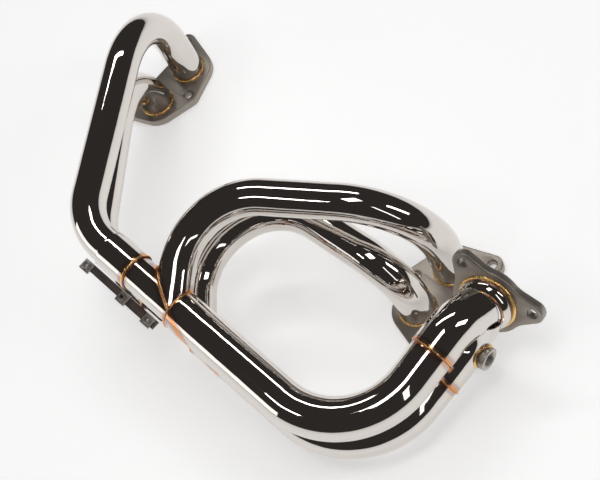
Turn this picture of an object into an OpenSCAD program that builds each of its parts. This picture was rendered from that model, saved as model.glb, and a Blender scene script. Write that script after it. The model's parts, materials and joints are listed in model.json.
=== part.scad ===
/* [Head flanges] */
// Distance between the two rows of exhaust ports
bank_gap = 496; // [420:2:590]
// How far the far row sits toward the outlet
bank_shift = 27; // [0:1:50]
// Distance between the two ports of one head
port_pitch = 62; // [52:1:76]
// Thickness of a head flange
head_plate = 12; // [8:0.5:16]
// Radius of the gas port through a head flange
port_r = 19; // [14:0.5:20]
// Width of flange metal around each tube
port_land = 10.6; // [7:0.2:16]
// Distance from the port row to the two outer bolts
ear_out = 35; // [30:1:44]
// Distance from the flange centre to each outer bolt, along the row
ear_along = 61; // [50:1:76]
// Distance from the port row to the single inner bolt
mid_out = 30; // [26:1:38]
// Radius of the metal around a bolt hole
ear_r = 13; // [9:0.5:17]
// Radius of a flange bolt hole
bolt_hole_r = 5.5; // [4:0.25:7]

/* [Tubes] */
// Outside diameter of the four primary tubes
primary_od = 42.4; // [34:0.2:51]
// Outside diameter of the two secondary tubes
secondary_od = 48.3; // [40:0.1:58]
// Outside diameter of the two outlet elbows
elbow_od = 50.8; // [42:0.1:60]
// Wall of every tube
tube_wall = 1.6; // [1:0.1:2.5]
// Depth that a tube sits into its flange
seat_depth = 8; // [4:0.5:10]
// Free space between the upper and the lower secondary
layer_space = 7.7; // [3:0.1:16]

/* [Collector line] */
// Distance from the far row to the first corner of the collector line
line_in = 168; // [140:1:200]
// Distance from the port row across to the collector line
line_reach = 209; // [180:1:250]
// Extra reach at the outlet end of the line
line_skew = 12; // [0:1:30]
// How far the line runs past the near row
line_past = 97; // [80:1:120]
// Height of the line at the slip joints
line_start_h = 159; // [130:1:190]
// Height of the line at its last corner
line_end_h = 100; // [88:1:120]
// Distance from the first corner to the slip sleeve
sleeve_start = 49; // [46:1:60]
// Length of the slip sleeve
sleeve_len = 46; // [30:1:55]
// Depth that a branch tube sits in its sleeve
branch_seat = 10; // [5:1:15]
// Running gap between a primary tube and its sleeve
slip_clearance = 0.1; // [0.05:0.01:0.1]
// Distance from the first corner to the upper merge
upper_merge_at = 157; // [150:1:180]
// Distance from the first corner to the lower merge
lower_merge_at = 169; // [160:1:190]
// Distance from a merge to the mouth of its secondary
merge_to_mouth = 11; // [9:0.5:16]

/* [Primary runs] */
// Corner height of the far upper primary
far_upper_h = 176; // [150:1:200]
// Drop from the far upper corner to the far lower corner
far_drop = 62; // [50:1:80]
// Corner height of the near upper primary
near_upper_h = 162; // [140:1:190]
// Drop from the near upper corner to the near lower corner
near_drop = 66; // [55:1:80]
// Bend radius above a head port
port_bend = 100; // [70:1:110]
// Bend radius above the near lower port
tight_bend = 60; // [40:1:70]
// Bend radius where a far primary turns into its sleeve
sleeve_bend = 75; // [55:1:80]
// Bend radius where a near primary turns to its merge
merge_bend = 90; // [60:1:100]

/* [Outlet] */
// Bend radius of the two secondaries
secondary_bend = 98; // [70:1:110]
// Bend radius of the two outlet elbows
elbow_bend = 55; // [35:1:60]
// Place of the outlet along the far-to-near direction
outlet_x = 96.5; // [80:0.5:120]
// Place of the outlet along the port row
outlet_y = 1.5; // [-20:0.5:20]
// Height of the outlet
outlet_z = 92.5; // [85:0.5:120]
// Angle that the outlet faces downward
outlet_droop = 26; // [10:1:35]
// Angle that the outlet turns toward the far row
outlet_turn = 15; // [0:1:20]
// Angle that the upper elbow turns toward the far row
elbow_turn = -2; // [-6:1:6]
// Distance from the outlet face back to the upper elbow's corner
elbow_reach = 55; // [48:1:66]
// Length of upper secondary after its corner
upper_cut = 140; // [125:1:145]
// Length of lower secondary after its corner
lower_cut = 131; // [120:1:145]
// Outside diameter of the outlet collar
collar_od = 63.5; // [57:0.5:76]
// Length of the outlet collar outside the flange
collar_len = 14; // [10:1:20]
// Thickness of the outlet flange
outlet_plate = 10; // [7:0.5:14]
// Radius of the round part of the outlet flange
outlet_disc_r = 41; // [38:0.5:50]
// Diameter of the outlet bolt circle
outlet_pcd = 103; // [90:1:126]

/* [Sensor boss] */
// Outside radius of the sensor boss
bung_r = 13.3; // [11:0.1:16]
// Radius of the threaded hole at its crests
bung_hole_r = 8.25; // [5:0.05:9]
// Height of the boss above the elbow
bung_height = 8.2; // [4:0.2:12]

/* [Shield bracket] */
// Thickness of the bracket's sheet
sheet = 2; // [1:0.1:3]
// Width of the bracket's rail
rail_w = 10; // [7:0.5:16]
// Radius of the threaded hole in each bracket nut
nut_hole_r = 2.5; // [2:0.1:3]
// Width of a bracket nut across its flats
nut_flats = 9; // [8:0.5:12]

/* [Hidden] */
$fn = 96;

primary_r = primary_od / 2;
secondary_r = secondary_od / 2;
elbow_r = elbow_od / 2;
collar_r = collar_od / 2;
sleeve_bore_r = primary_r + slip_clearance;
sleeve_r = sleeve_bore_r + tube_wall;
layer_pitch = secondary_od + layer_space;
bead = 2;
// The two joints between a secondary and its elbow are dressed nearly flush
joint_bead = 1.2;
lower_joint_bead = 1.5;
// Gap left where a bead is cut back from a tube that passes it
bead_gap = 0.4;
// Hair-thin band over each joint between a leg and a bend, so that the two fuse
seam = 0.05;
seam_half = 0.3;
// Shortest straight left between two bends
least_leg = 2;
// Straight that a primary keeps above its flange, so that its bead sits on a round tube
port_leg = seat_depth + bead + 1;
// Cutters reach this far past what they cut
far = 220;
over = 1;

// Port centres on the mating plane, which is z = 0
left_centre = [-bank_gap, bank_shift, 0];
along_row = [0, port_pitch / 2, 0];
up = [0, 0, 1];

// Corners of the collector line: the upper layer, and the lower one straight below it
upper_start = [-bank_gap + line_in, -line_reach, line_start_h];
upper_end = [line_past, -line_reach - line_skew, line_end_h];
drop = [0, 0, -layer_pitch];
line_dir = unit(upper_end - upper_start);
line_yaw = atan2(line_dir[1], line_dir[0]);
line_dip = -asin(line_dir[2]);
// The lower line turns a little sooner than the upper one at both ends
lower_lead = 11;
lower_start = upper_start + drop - line_dir * lower_lead;
lower_end = upper_end + drop - line_dir * 2;
sleeve_end = sleeve_start + sleeve_len;
branch_start = sleeve_end - branch_seat;
end_gap = 1;

upper_merge = upper_start + line_dir * upper_merge_at;
lower_merge = upper_start + drop + line_dir * lower_merge_at;
upper_mouth = upper_merge_at + merge_to_mouth;
lower_mouth = lower_merge_at + merge_to_mouth;

// Outlet: its direction, its face centre on the tube side and the elbow corners
outlet_tilt = [-(90 + outlet_droop), 0, outlet_turn];
outlet_dir = [-sin(outlet_turn) * cos(outlet_droop),
    cos(outlet_turn) * cos(outlet_droop), -sin(outlet_droop)];
outlet_at = [outlet_x, outlet_y, outlet_z];
elbow_dir = [-sin(elbow_turn) * cos(outlet_droop),
    cos(elbow_turn) * cos(outlet_droop), -sin(outlet_droop)];
upper_corner = outlet_at - elbow_dir * elbow_reach;
lower_corner = upper_corner + drop + [3, 19, 10];
first_bolt_turn = -4.5;
outlet_turns = [for (i = [0 : 2]) first_bolt_turn + 120 * i];
// Depth of the collar in its flange, length of its cone, and how far it laps over the elbow
collar_seat = 6;
collar_cone = 8;
collar_lap = 1;
// Depth that the upper elbow reaches into the collar
elbow_seat = 4;
// The lower elbow heads for a point of the outlet's axis and ends a little short of it
elbow_aim = outlet_at - outlet_dir * (collar_len + 1);
elbow_meet = elbow_aim - unit(elbow_aim - lower_corner) * 4;
upper_leg_dir = unit(upper_corner - upper_end);
lower_leg_dir = unit(lower_corner - lower_end);

// Route of each tube: its corner points, and the bend radius at each inner corner
left_upper_route = [left_centre + along_row + up * (head_plate - seat_depth),
    left_centre + along_row + up * far_upper_h, upper_start,
    upper_start + line_dir * (branch_start - end_gap)];
left_lower_route = [left_centre - along_row + up * (head_plate - seat_depth),
    left_centre - along_row + up * (far_upper_h - far_drop), lower_start,
    lower_start + line_dir * (branch_start - end_gap + lower_lead)];
right_upper_turn = upper_merge + [-66, 106, 33];
right_lower_turn = lower_merge + [-158, 171, 30];
right_upper_route = [along_row + up * (head_plate - seat_depth),
    along_row + up * near_upper_h, right_upper_turn,
    upper_merge + unit(upper_merge - right_upper_turn) * 22];
right_lower_route = [-along_row + up * (head_plate - seat_depth),
    -along_row + up * (near_upper_h - near_drop), right_lower_turn,
    lower_merge + unit(lower_merge - right_lower_turn) * 22];
upper_secondary_route = [upper_start + line_dir * upper_mouth, upper_end,
    upper_end + upper_leg_dir * upper_cut];
lower_secondary_route = [lower_start + line_dir * (lower_mouth + lower_lead), lower_end,
    lower_end + lower_leg_dir * lower_cut];
upper_elbow_route = [upper_end + upper_leg_dir * upper_cut, upper_corner,
    outlet_at - elbow_dir * (collar_len - elbow_seat)];
lower_elbow_route = [lower_end + lower_leg_dir * lower_cut, lower_corner, elbow_meet];

// Sensor boss: where its axis meets the lower elbow, and its direction
bung_from = lower_corner - lower_leg_dir * 18;
bung_yaw = 6;
bung_reach = elbow_r + bung_height;

// Bracket, measured along the lower line from its first corner and out from the tube
rail_start = -2;
rail_end = 123;
rail_step = 60;
pad_places = [4, 68, 112];
pad_len = 15;
pad_out = sleeve_r + 7;

function unit(v) = v / norm(v);
function turn_at(a, b, c) = acos(unit(b - a) * unit(c - b));
function run_out(p, bends, i) = bends[i - 1] * tan(turn_at(p[i - 1], p[i], p[i + 1]) / 2);
function leg_from(p, bends, i) = i == 0 ? p[0] : p[i] + unit(p[i + 1] - p[i]) * run_out(p, bends, i);
function leg_to(p, bends, i) = i == len(p) - 2 ? p[i + 1]
    : p[i + 1] - unit(p[i + 1] - p[i]) * run_out(p, bends, i + 1);

// Bend radii that fit between their corners: each is eased only where a leg is too short for it
function eased(p, bends, i = 1, used = 0) = i > len(p) - 2 ? [] :
    let (half = tan(turn_at(p[i - 1], p[i], p[i + 1]) / 2),
        before = norm(p[i] - p[i - 1]) - used - (i == 1 ? port_leg : least_leg),
        after = norm(p[i + 1] - p[i]) * (i == len(p) - 2 ? 1 : 0.75) - least_leg,
        bend = min(bends[i - 1], before / half, after / half))
    concat([bend], eased(p, bends, i + 1, bend * half));

// Frame whose x and y axes are the given unit vectors
function frame_of(x, y, o) = let (z = cross(x, y))
    [[x[0], y[0], z[0], o[0]], [x[1], y[1], z[1], o[1]], [x[2], y[2], z[2], o[2]], [0, 0, 0, 1]];

// Turns +Z to point from a to b, with the origin at a
module aim(a, b) {
    v = b - a;
    translate(a) rotate([0, acos(v[2] / norm(v)), atan2(v[1], v[0])]) children();
}

module rod(a, b, r) {
    aim(a, b) cylinder(h = norm(b - a), r = r);
}

module bend_rod(a, b, c, bend, r) {
    go_in = unit(b - a);
    go_out = unit(c - b);
    side = unit(go_out - go_in * (go_in * go_out));
    start = b - go_in * bend * tan(turn_at(a, b, c) / 2);
    multmatrix(frame_of(-side, go_in, start + side * bend))
        rotate_extrude(angle = turn_at(a, b, c)) translate([bend, 0]) circle(r);
}

// Solid round bar along a route
module bar(p, bends, r) {
    fit = eased(p, bends);
    for (i = [0 : len(p) - 2]) rod(leg_from(p, fit, i), leg_to(p, fit, i), r);
    for (i = [1 : len(p) - 2]) {
        bend_rod(p[i - 1], p[i], p[i + 1], fit[i - 1], r);
        joint_band(leg_to(p, fit, i - 1), unit(p[i] - p[i - 1]), r);
        joint_band(leg_from(p, fit, i), unit(p[i + 1] - p[i]), r);
    }
}

module joint_band(at, dir, r) {
    rod(at - dir * seam_half, at + dir * seam_half, r + seam);
}

// The bore of a tube: the same route, running out past both ends
module bore(p, bends, r) {
    last = len(p) - 1;
    bar(p, bends, r);
    rod(p[0] - unit(p[1] - p[0]) * over, p[0] + unit(p[1] - p[0]) * over, r + seam);
    rod(p[last] - unit(p[last] - p[last - 1]) * over,
        p[last] + unit(p[last] - p[last - 1]) * over, r + seam);
}

module tube(p, bends, r) {
    difference() {
        bar(p, bends, r);
        bore(p, bends, r - tube_wall);
    }
}

// Everything on the side of the plane through at that dir points to
module half_space(at, dir) {
    aim(at, at + dir) translate([-far / 2, -far / 2, 0]) cube([far, far, far / 2]);
}

// Weld bead around a round bar of radius r, centred at a point of its axis; spin turns its seam
module weld_ring(at, dir, r, size, spin) {
    aim(at, at + dir) rotate(spin) difference() {
        rotate_extrude() translate([r, 0]) circle(size, $fn = 32);
        translate([0, 0, -2 * size]) cylinder(h = 4 * size, r = r);
    }
}

// Moves to a place along a collector line, with +X along it and +Y across it
module on_line(start, along) {
    translate(start + line_dir * along) rotate([0, line_dip, line_yaw]) children();
}

// Straight band of sheet metal that joins two round pads by their outer tangents
module web(a, ra, b, rb) {
    inset = 0.05;
    reach = norm(b - a);
    heading = atan2(b[1] - a[1], b[0] - a[0]);
    lean = acos((ra - rb) / reach);
    ends = [[a, ra, lean], [b, rb, lean], [b, rb, -lean], [a, ra, -lean]];
    polygon([for (e = ends) e[0] + (e[1] - inset) * [cos(heading + e[2]), sin(heading + e[2])]]);
}

// Round lobe of a flange, with a web that runs from it to another one
module lobe(at, r, h) {
    translate([at[0], at[1], 0]) cylinder(h = h, r = r);
}

module webbed(a, ra, b, rb, h) {
    lobe(b, rb, h);
    linear_extrude(h) web(a, ra, b, rb);
}

// Head flange about its own centre, with its single bolt toward -X
module head_flange() {
    land_r = primary_r + port_land;
    middle = [-mid_out, 0];
    difference() {
        union() {
            for (s = [-1, 1]) {
                port = [0, s * port_pitch / 2];
                lobe(port, land_r, head_plate);
                webbed(port, land_r, [ear_out, s * ear_along], ear_r, head_plate);
                linear_extrude(head_plate) web(port, land_r, middle, ear_r);
            }
            lobe(middle, ear_r, head_plate);
            translate([-land_r + 0.5, -port_pitch / 2, 0]) cube([2 * land_r - 1, port_pitch, head_plate]);
        }
        for (s = [-1, 1]) translate([0, s * port_pitch / 2, 0]) {
            translate([0, 0, -over]) cylinder(h = head_plate + 2 * over, r = port_r);
            translate([0, 0, head_plate - seat_depth]) cylinder(h = head_plate, r = primary_r);
        }
        for (at = [[ear_out, ear_along], [ear_out, -ear_along], [-mid_out, 0]])
            translate([at[0], at[1], -over]) cylinder(h = head_plate + 2 * over, r = bolt_hole_r);
    }
}

// Primary that joins the collector line at a mitre, trimmed by the mouth of the secondary
module merging_primary(p, bends, merge, mouth_at) {
    dir_in = unit(p[3] - p[2]);
    difference() {
        bar(p, bends, primary_r);
        bore(p, bends, primary_r - tube_wall);
        half_space(merge, unit(dir_in - line_dir));
        half_space(mouth_at, line_dir);
    }
}

module branch_tube(start, dir_in, merge_along, mouth) {
    difference() {
        rod(start + line_dir * branch_start, start + line_dir * mouth, primary_r);
        rod(start + line_dir * (branch_start - over), start + line_dir * (mouth + over),
            primary_r - tube_wall);
        half_space(start + line_dir * merge_along, unit(line_dir - dir_in));
    }
}

// Bead along the mitre between a branch tube and a merging primary: a flat oval plate in the
// plane of the mitre, hollowed on each side by the tube there
module mitre_weld(start, p, merge_along, mouth) {
    merge = start + line_dir * merge_along;
    dir_in = unit(p[3] - p[2]);
    onward = unit(line_dir + dir_in);
    side = unit(line_dir - dir_in);
    half_turn = acos(line_dir * onward);
    oval = [primary_r / sin(half_turn) + 4, primary_r + 1.1];
    half_w = 2;
    difference() {
        union() {
            difference() {
                multmatrix(frame_of(onward, cross(side, onward), merge)) oval_plate(oval, -half_w);
                rod(merge - line_dir * 90, merge + line_dir * 90, primary_r + seam);
            }
            difference() {
                multmatrix(frame_of(onward, cross(side, onward), merge)) oval_plate(oval, half_w);
                rod(merge - dir_in * 90, merge + dir_in * 90, primary_r);
            }
        }
        half_space(start + line_dir * (mouth - bead), line_dir);
    }
}

module oval_plate(oval, h) {
    translate([0, 0, min(0, h)]) linear_extrude(abs(h))
        polygon([for (i = [0 : 71]) [oval[0] * cos(i * 5), oval[1] * sin(i * 5)]]);
}

// Secondary: its mouth has a narrow lip that the branch tube and the primary butt against
module secondary(p) {
    lip = 3;
    dir_in = unit(p[1] - p[0]);
    difference() {
        bar(p, [secondary_bend], secondary_r);
        bore([p[0] + dir_in * (lip + over), p[1], p[2]], [secondary_bend], secondary_r - tube_wall);
        rod(p[0] - dir_in * over, p[0] + dir_in * (lip + 2 * over), primary_r - tube_wall);
    }
}

// Bead where the smaller tubes meet the mouth of a secondary, each tube on its side of the mitre
module mouth_weld(start, p, merge_along, mouth) {
    merge = start + line_dir * merge_along;
    dir_in = unit(p[3] - p[2]);
    side = unit(line_dir - dir_in);
    at = start + line_dir * mouth;
    difference() {
        aim(at, at + line_dir) rotate_extrude()
            translate([(primary_r + secondary_r) / 2, 0]) circle(bead, $fn = 32);
        rod(at, at + line_dir * 9, secondary_r);
        difference() {
            rod(at - line_dir * 9, at + line_dir * over, primary_r);
            half_space(merge + side * seam, side);
        }
        difference() {
            rod(merge - dir_in * 40, merge + dir_in * 40, primary_r);
            half_space(merge, -side);
        }
    }
}

module slip_sleeve(start) {
    difference() {
        rod(start + line_dir * sleeve_start, start + line_dir * sleeve_end, sleeve_r);
        rod(start + line_dir * (sleeve_start - over), start + line_dir * (sleeve_end + over), sleeve_bore_r);
    }
}

// Bead where a branch tube leaves its sleeve
module sleeve_weld(start) {
    at = start + line_dir * sleeve_end;
    difference() {
        aim(at, at + line_dir) rotate_extrude() translate([sleeve_r - 0.6, 0]) circle(bead, $fn = 32);
        rod(at - line_dir * 9, at, sleeve_r);
        rod(at - line_dir * over, at + line_dir * 9, primary_r);
    }
}

// Bead on top of a head flange around one tube
module port_weld(at) {
    difference() {
        translate(at + up * head_plate) rotate_extrude() translate([primary_r, 0]) circle(bead, $fn = 32);
        translate(at) cylinder(h = head_plate + 2 * bead, r = primary_r);
        translate(at) cylinder(h = head_plate, r = primary_r + 2 * bead);
    }
}

// Moves to the outlet, with +Z pointing out of it
module at_outlet() {
    translate(outlet_at) rotate(outlet_tilt) children();
}

// Half section of the collar, or of its hollow when shrink is the wall
module collar_profile(shrink, lift) {
    small_r = elbow_r + collar_lap - shrink;
    large_r = collar_r - shrink;
    polygon([[0, collar_seat + lift], [large_r, collar_seat + lift], [large_r, collar_cone - collar_len],
        [small_r, shrink - collar_len], [0, shrink - collar_len]]);
}

module collar_solid() {
    at_outlet() rotate_extrude() collar_profile(0, 0);
}

module lower_elbow_bore() {
    bar(lower_elbow_route, [elbow_bend], elbow_r - tube_wall);
}

module at_bung() {
    translate(bung_from) rotate([0, 90, bung_yaw]) children();
}

module outlet_plate_solid() {
    cylinder(h = outlet_plate, r = outlet_disc_r);
    for (turn = outlet_turns)
        webbed([0, 0], outlet_disc_r - 6, outlet_pcd / 2 * [cos(turn), sin(turn)], ear_r, outlet_plate);
}

module left_head_flange() {
    color("#6f655c") translate(left_centre) rotate([0, 0, 180]) head_flange();
}
module left_upper_primary() {
    color("#c9cbce") tube(left_upper_route, [port_bend, sleeve_bend], primary_r);
}
module left_lower_primary() {
    color("#c9cbce") tube(left_lower_route, [port_bend, sleeve_bend], primary_r);
}
module left_upper_port_weld() {
    color("#b98a4a") port_weld(left_centre + along_row);
}
module left_lower_port_weld() {
    color("#b98a4a") port_weld(left_centre - along_row);
}
module right_head_flange() {
    color("#6f655c") head_flange();
}
module right_upper_primary() {
    color("#c9cbce") merging_primary(right_upper_route, [port_bend, merge_bend], upper_merge,
        upper_start + line_dir * upper_mouth);
}
module right_lower_primary() {
    color("#c9cbce") merging_primary(right_lower_route, [tight_bend, merge_bend], lower_merge,
        upper_start + drop + line_dir * lower_mouth);
}
module right_upper_port_weld() {
    color("#b98a4a") port_weld(along_row);
}
module right_lower_port_weld() {
    color("#b98a4a") port_weld(-along_row);
}
module upper_slip_sleeve() {
    color("#c9cbce") slip_sleeve(upper_start);
}
module lower_slip_sleeve() {
    color("#c9cbce") slip_sleeve(upper_start + drop);
}
module upper_sleeve_weld() {
    color("#c98d35") sleeve_weld(upper_start);
}
module lower_sleeve_weld() {
    color("#c98d35") sleeve_weld(upper_start + drop);
}
module upper_branch_tube() {
    color("#c9cbce") branch_tube(upper_start, unit(upper_merge - right_upper_turn),
        upper_merge_at, upper_mouth);
}
module lower_branch_tube() {
    color("#c9cbce") branch_tube(upper_start + drop, unit(lower_merge - right_lower_turn),
        lower_merge_at, lower_mouth);
}
module upper_mitre_weld() {
    color("#b98a4a") mitre_weld(upper_start, right_upper_route, upper_merge_at, upper_mouth);
}
module lower_mitre_weld() {
    color("#b98a4a") mitre_weld(upper_start + drop, right_lower_route, lower_merge_at, lower_mouth);
}
module upper_merge_weld() {
    color("#b98a4a") mouth_weld(upper_start, right_upper_route, upper_merge_at, upper_mouth);
}
module lower_merge_weld() {
    color("#b98a4a") mouth_weld(upper_start + drop, right_lower_route, lower_merge_at, lower_mouth);
}
module upper_secondary() {
    color("#c9cbce") secondary(upper_secondary_route);
}
module lower_secondary() {
    color("#c9cbce") secondary(lower_secondary_route);
}
module upper_secondary_weld() {
    color("#c98d35") difference() {
        weld_ring(upper_secondary_route[2], upper_leg_dir, elbow_r, joint_bead, 180);
        bar(lower_elbow_route, [elbow_bend], elbow_r);
    }
}
module lower_secondary_weld() {
    color("#c98d35") difference() {
        weld_ring(lower_secondary_route[2], lower_leg_dir, elbow_r, lower_joint_bead, 0);
        rod(upper_secondary_route[2] - upper_leg_dir * upper_cut / 2, upper_secondary_route[2],
            secondary_r + bead_gap);
    }
}
module upper_outlet_elbow() {
    color("#c9cbce") difference() {
        tube(upper_elbow_route, [elbow_bend], elbow_r);
        lower_elbow_bore();
    }
}
module lower_outlet_elbow() {
    color("#c9cbce") difference() {
        tube(lower_elbow_route, [elbow_bend], elbow_r);
        bar(upper_elbow_route, [elbow_bend], elbow_r);
        bar(upper_secondary_route, [secondary_bend], secondary_r);
        collar_solid();
        half_space(outlet_at, outlet_dir);
        at_bung() cylinder(h = bung_reach, r = bung_hole_r);
    }
}
module outlet_collar() {
    color("#c9cbce") difference() {
        collar_solid();
        at_outlet() rotate_extrude() collar_profile(tube_wall, over);
        bar(upper_elbow_route, [elbow_bend], elbow_r);
        lower_elbow_bore();
    }
}
module elbow_collar_weld() {
    color("#b98a4a") difference() {
        rod(outlet_at - elbow_dir * (2 * collar_len), outlet_at, elbow_r + joint_bead);
        rod(outlet_at - elbow_dir * (3 * collar_len), outlet_at + elbow_dir, elbow_r);
        half_space(outlet_at - outlet_dir * collar_len, outlet_dir);
        half_space(outlet_at - outlet_dir * (collar_len + joint_bead), -outlet_dir);
        bar(lower_elbow_route, [elbow_bend], elbow_r);
    }
}
module outlet_flange() {
    color("#7b7268") at_outlet() difference() {
        outlet_plate_solid();
        translate([0, 0, -over]) cylinder(h = collar_seat + over, r = collar_r);
        translate([0, 0, -over]) cylinder(h = outlet_plate + 2 * over, r = collar_r - tube_wall - 1);
        for (turn = outlet_turns)
            rotate([0, 0, turn]) translate([outlet_pcd / 2, 0, -over])
                cylinder(h = outlet_plate + 2 * over, r = bolt_hole_r);
    }
}
module outlet_flange_weld() {
    color("#b98a4a") difference() {
        at_outlet() rotate_extrude() translate([collar_r, 0]) circle(bead + 0.6, $fn = 32);
        collar_solid();
        at_outlet() cylinder(h = collar_seat, r = collar_r + 2 * bead);
        bar(lower_elbow_route, [elbow_bend], elbow_r);
    }
}
module sensor_bung() {
    color("#8a847c") difference() {
        at_bung() translate([0, 0, elbow_r - 6]) cylinder(h = bung_height + 6, r = bung_r);
        bar(lower_elbow_route, [elbow_bend], elbow_r);
        at_bung() cylinder(h = bung_reach + over, r = bung_hole_r);
    }
}
module sensor_bung_weld() {
    color("#b98a4a") difference() {
        at_bung() translate([0, 0, elbow_r - 6]) cylinder(h = 7.5, r1 = bung_r + 5, r2 = bung_r + 0.2);
        bar(lower_elbow_route, [elbow_bend], elbow_r);
        at_bung() cylinder(h = bung_reach + over, r = bung_r);
    }
}
module shield_bracket() {
    color("#5d5751") on_line(upper_start + drop, 0) difference() {
        union() {
            translate([rail_start, -sleeve_r - rail_w, -sheet]) cube([rail_step - rail_start, rail_w, sheet]);
            translate([rail_step - over, -sleeve_r - rail_w - 1.5, -2 * sheet])
                cube([rail_end - rail_step + over, rail_w + 1.5, 1.5 * sheet]);
            translate([sleeve_start + 3, -sleeve_r - sheet, -8]) cube([sleeve_len - 6, sheet, 8 - sheet / 2]);
        }
        rotate([0, 90, 0]) translate([0, 0, rail_start - over]) cylinder(h = far, r = sleeve_r);
        rotate([0, 90, 0]) translate([0, 0, sleeve_end - bead - over])
            cylinder(h = 2 * (bead + over), r = sleeve_r + bead);
        for (along = pad_places)
            translate([along, -pad_out, -10]) cylinder(h = 20, r = nut_hole_r + 0.6);
    }
}
module bracket_pads() {
    color("#a39c93") on_line(upper_start + drop, 0)
        for (along = pad_places) difference() {
            translate([along - pad_len / 2, -pad_out - pad_len / 2, along < rail_step ? 0 : -sheet / 2])
                cube([pad_len, pad_len, sheet]);
            rotate([0, 90, 0]) translate([0, 0, rail_start - pad_len]) cylinder(h = far, r = sleeve_r + 0.2);
            translate([along, -pad_out, -10]) cylinder(h = 20, r = nut_hole_r + 0.6);
        }
}
module bracket_nuts() {
    color("#b8b2a9") on_line(upper_start + drop, 0)
        for (along = pad_places)
            translate([along, -pad_out, along < rail_step ? sheet : sheet / 2]) difference() {
                cylinder(h = 5, r = nut_flats / sqrt(3), $fn = 6);
                translate([0, 0, -over]) cylinder(h = 7, r = nut_hole_r);
            }
}

left_head_flange();
left_upper_primary();
left_lower_primary();
left_upper_port_weld();
left_lower_port_weld();
right_head_flange();
right_upper_primary();
right_lower_primary();
right_upper_port_weld();
right_lower_port_weld();
upper_slip_sleeve();
lower_slip_sleeve();
upper_sleeve_weld();
lower_sleeve_weld();
upper_branch_tube();
lower_branch_tube();
upper_mitre_weld();
lower_mitre_weld();
upper_merge_weld();
lower_merge_weld();
upper_secondary();
lower_secondary();
upper_secondary_weld();
lower_secondary_weld();
upper_outlet_elbow();
lower_outlet_elbow();
outlet_collar();
elbow_collar_weld();
outlet_flange();
outlet_flange_weld();
sensor_bung();
sensor_bung_weld();
shield_bracket();
bracket_pads();
bracket_nuts();
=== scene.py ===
"""Visual model of a polished tube exhaust manifold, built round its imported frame.

Each operator builds one piece or one group of like pieces; the panel in the 3D view's
sidebar lists them. Lengths are in metres, in the frame's own axes.
"""

import json
import math

import bmesh
import bpy
import numpy as np
from bpy.props import FloatProperty, FloatVectorProperty, IntProperty, PointerProperty
from bpy.types import Operator, Panel, PropertyGroup
from mathutils import Matrix, Vector


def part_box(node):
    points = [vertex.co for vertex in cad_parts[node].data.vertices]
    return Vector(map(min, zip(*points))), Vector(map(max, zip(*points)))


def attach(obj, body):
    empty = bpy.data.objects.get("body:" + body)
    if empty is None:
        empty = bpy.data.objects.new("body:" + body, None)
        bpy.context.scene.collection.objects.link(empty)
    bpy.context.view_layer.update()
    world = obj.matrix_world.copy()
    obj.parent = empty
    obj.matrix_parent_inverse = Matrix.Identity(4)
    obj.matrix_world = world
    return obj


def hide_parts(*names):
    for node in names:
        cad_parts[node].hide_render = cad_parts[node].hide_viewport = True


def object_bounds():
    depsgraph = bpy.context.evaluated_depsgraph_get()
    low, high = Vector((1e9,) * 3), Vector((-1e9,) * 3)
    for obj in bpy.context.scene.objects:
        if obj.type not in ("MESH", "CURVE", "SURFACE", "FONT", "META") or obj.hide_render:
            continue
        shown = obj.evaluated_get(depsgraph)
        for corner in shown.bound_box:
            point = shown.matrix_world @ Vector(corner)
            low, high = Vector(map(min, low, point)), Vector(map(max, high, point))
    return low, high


bl_info = {
    "name": "Polished Tube Manifold",
    "version": (1, 0, 0),
    "blender": (4, 5, 0),
    "location": "View3D > Sidebar > Manifold",
    "description": "Builds the tubes, welds, flanges, boss and bracket of an exhaust manifold",
    "category": "Add Mesh",
}

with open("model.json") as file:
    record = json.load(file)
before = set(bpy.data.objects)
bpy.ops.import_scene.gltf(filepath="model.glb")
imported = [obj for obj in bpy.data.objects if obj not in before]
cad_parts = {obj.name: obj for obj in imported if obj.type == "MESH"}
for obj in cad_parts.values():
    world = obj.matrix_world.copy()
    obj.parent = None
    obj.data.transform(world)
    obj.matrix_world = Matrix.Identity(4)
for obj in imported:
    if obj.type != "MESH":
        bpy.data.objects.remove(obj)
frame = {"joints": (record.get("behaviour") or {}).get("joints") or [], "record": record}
cad_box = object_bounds()
mounts = {m["name"]: m for m in frame["record"]["mounts"]}
MM = 0.001
UP = np.array([0, 0, 1.0])
ASKEW = [0.31, 0.17, 0.93]      # lies along no tube, so that a cross product with it is safe
TOUCHING = 1e-6                 # points nearer than this are one point
OUTLINE_STEP = 0.0012           # between the points of a plate's outline
BEAD_SIDES = 16                 # points round a bead's section


# ---------------------------------------------------------------- sizes and colours

def length(name, description, mm):
    return FloatProperty(name=name, description=description, default=mm * MM, unit="LENGTH",
                         precision=4)


def offset(name, description, mm):
    return FloatVectorProperty(name=name, description=description, size=3, subtype="XYZ",
                               default=[v * MM for v in mm], unit="LENGTH")


def colour(name, description, rgb):
    return FloatVectorProperty(name=name, description=description, size=3, subtype="COLOR",
                               min=0, max=1, default=rgb)


class TubeSizes(PropertyGroup):
    primary_od: length("Primary diameter", "Outside diameter of the primary tubes", 42.4)
    secondary_od: length("Secondary diameter", "Outside diameter of the secondary tubes", 48.3)
    elbow_od: length("Elbow diameter", "Outside diameter of the outlet elbows", 50.8)
    collar_od: length("Collar diameter", "Outside diameter of the outlet collar", 63.5)
    wall: length("Wall", "Wall thickness of every tube", 1.6)
    slip_gap: length("Slip gap", "Radial gap between a primary and its slip sleeve", 0.1)
    sleeve_start: length("Sleeve start", "From the line's first corner to the sleeve's rim", 49)
    sleeve_len: length("Sleeve length", "Length of a slip sleeve", 46)
    branch_seat: length("Branch seat", "How far a branch tube sits inside its sleeve", 10)
    collar_len: length("Collar length", "Length of the outlet collar outside its flange", 14)
    seat: length("Seat", "How far a primary sits in its head flange", 8)


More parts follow.
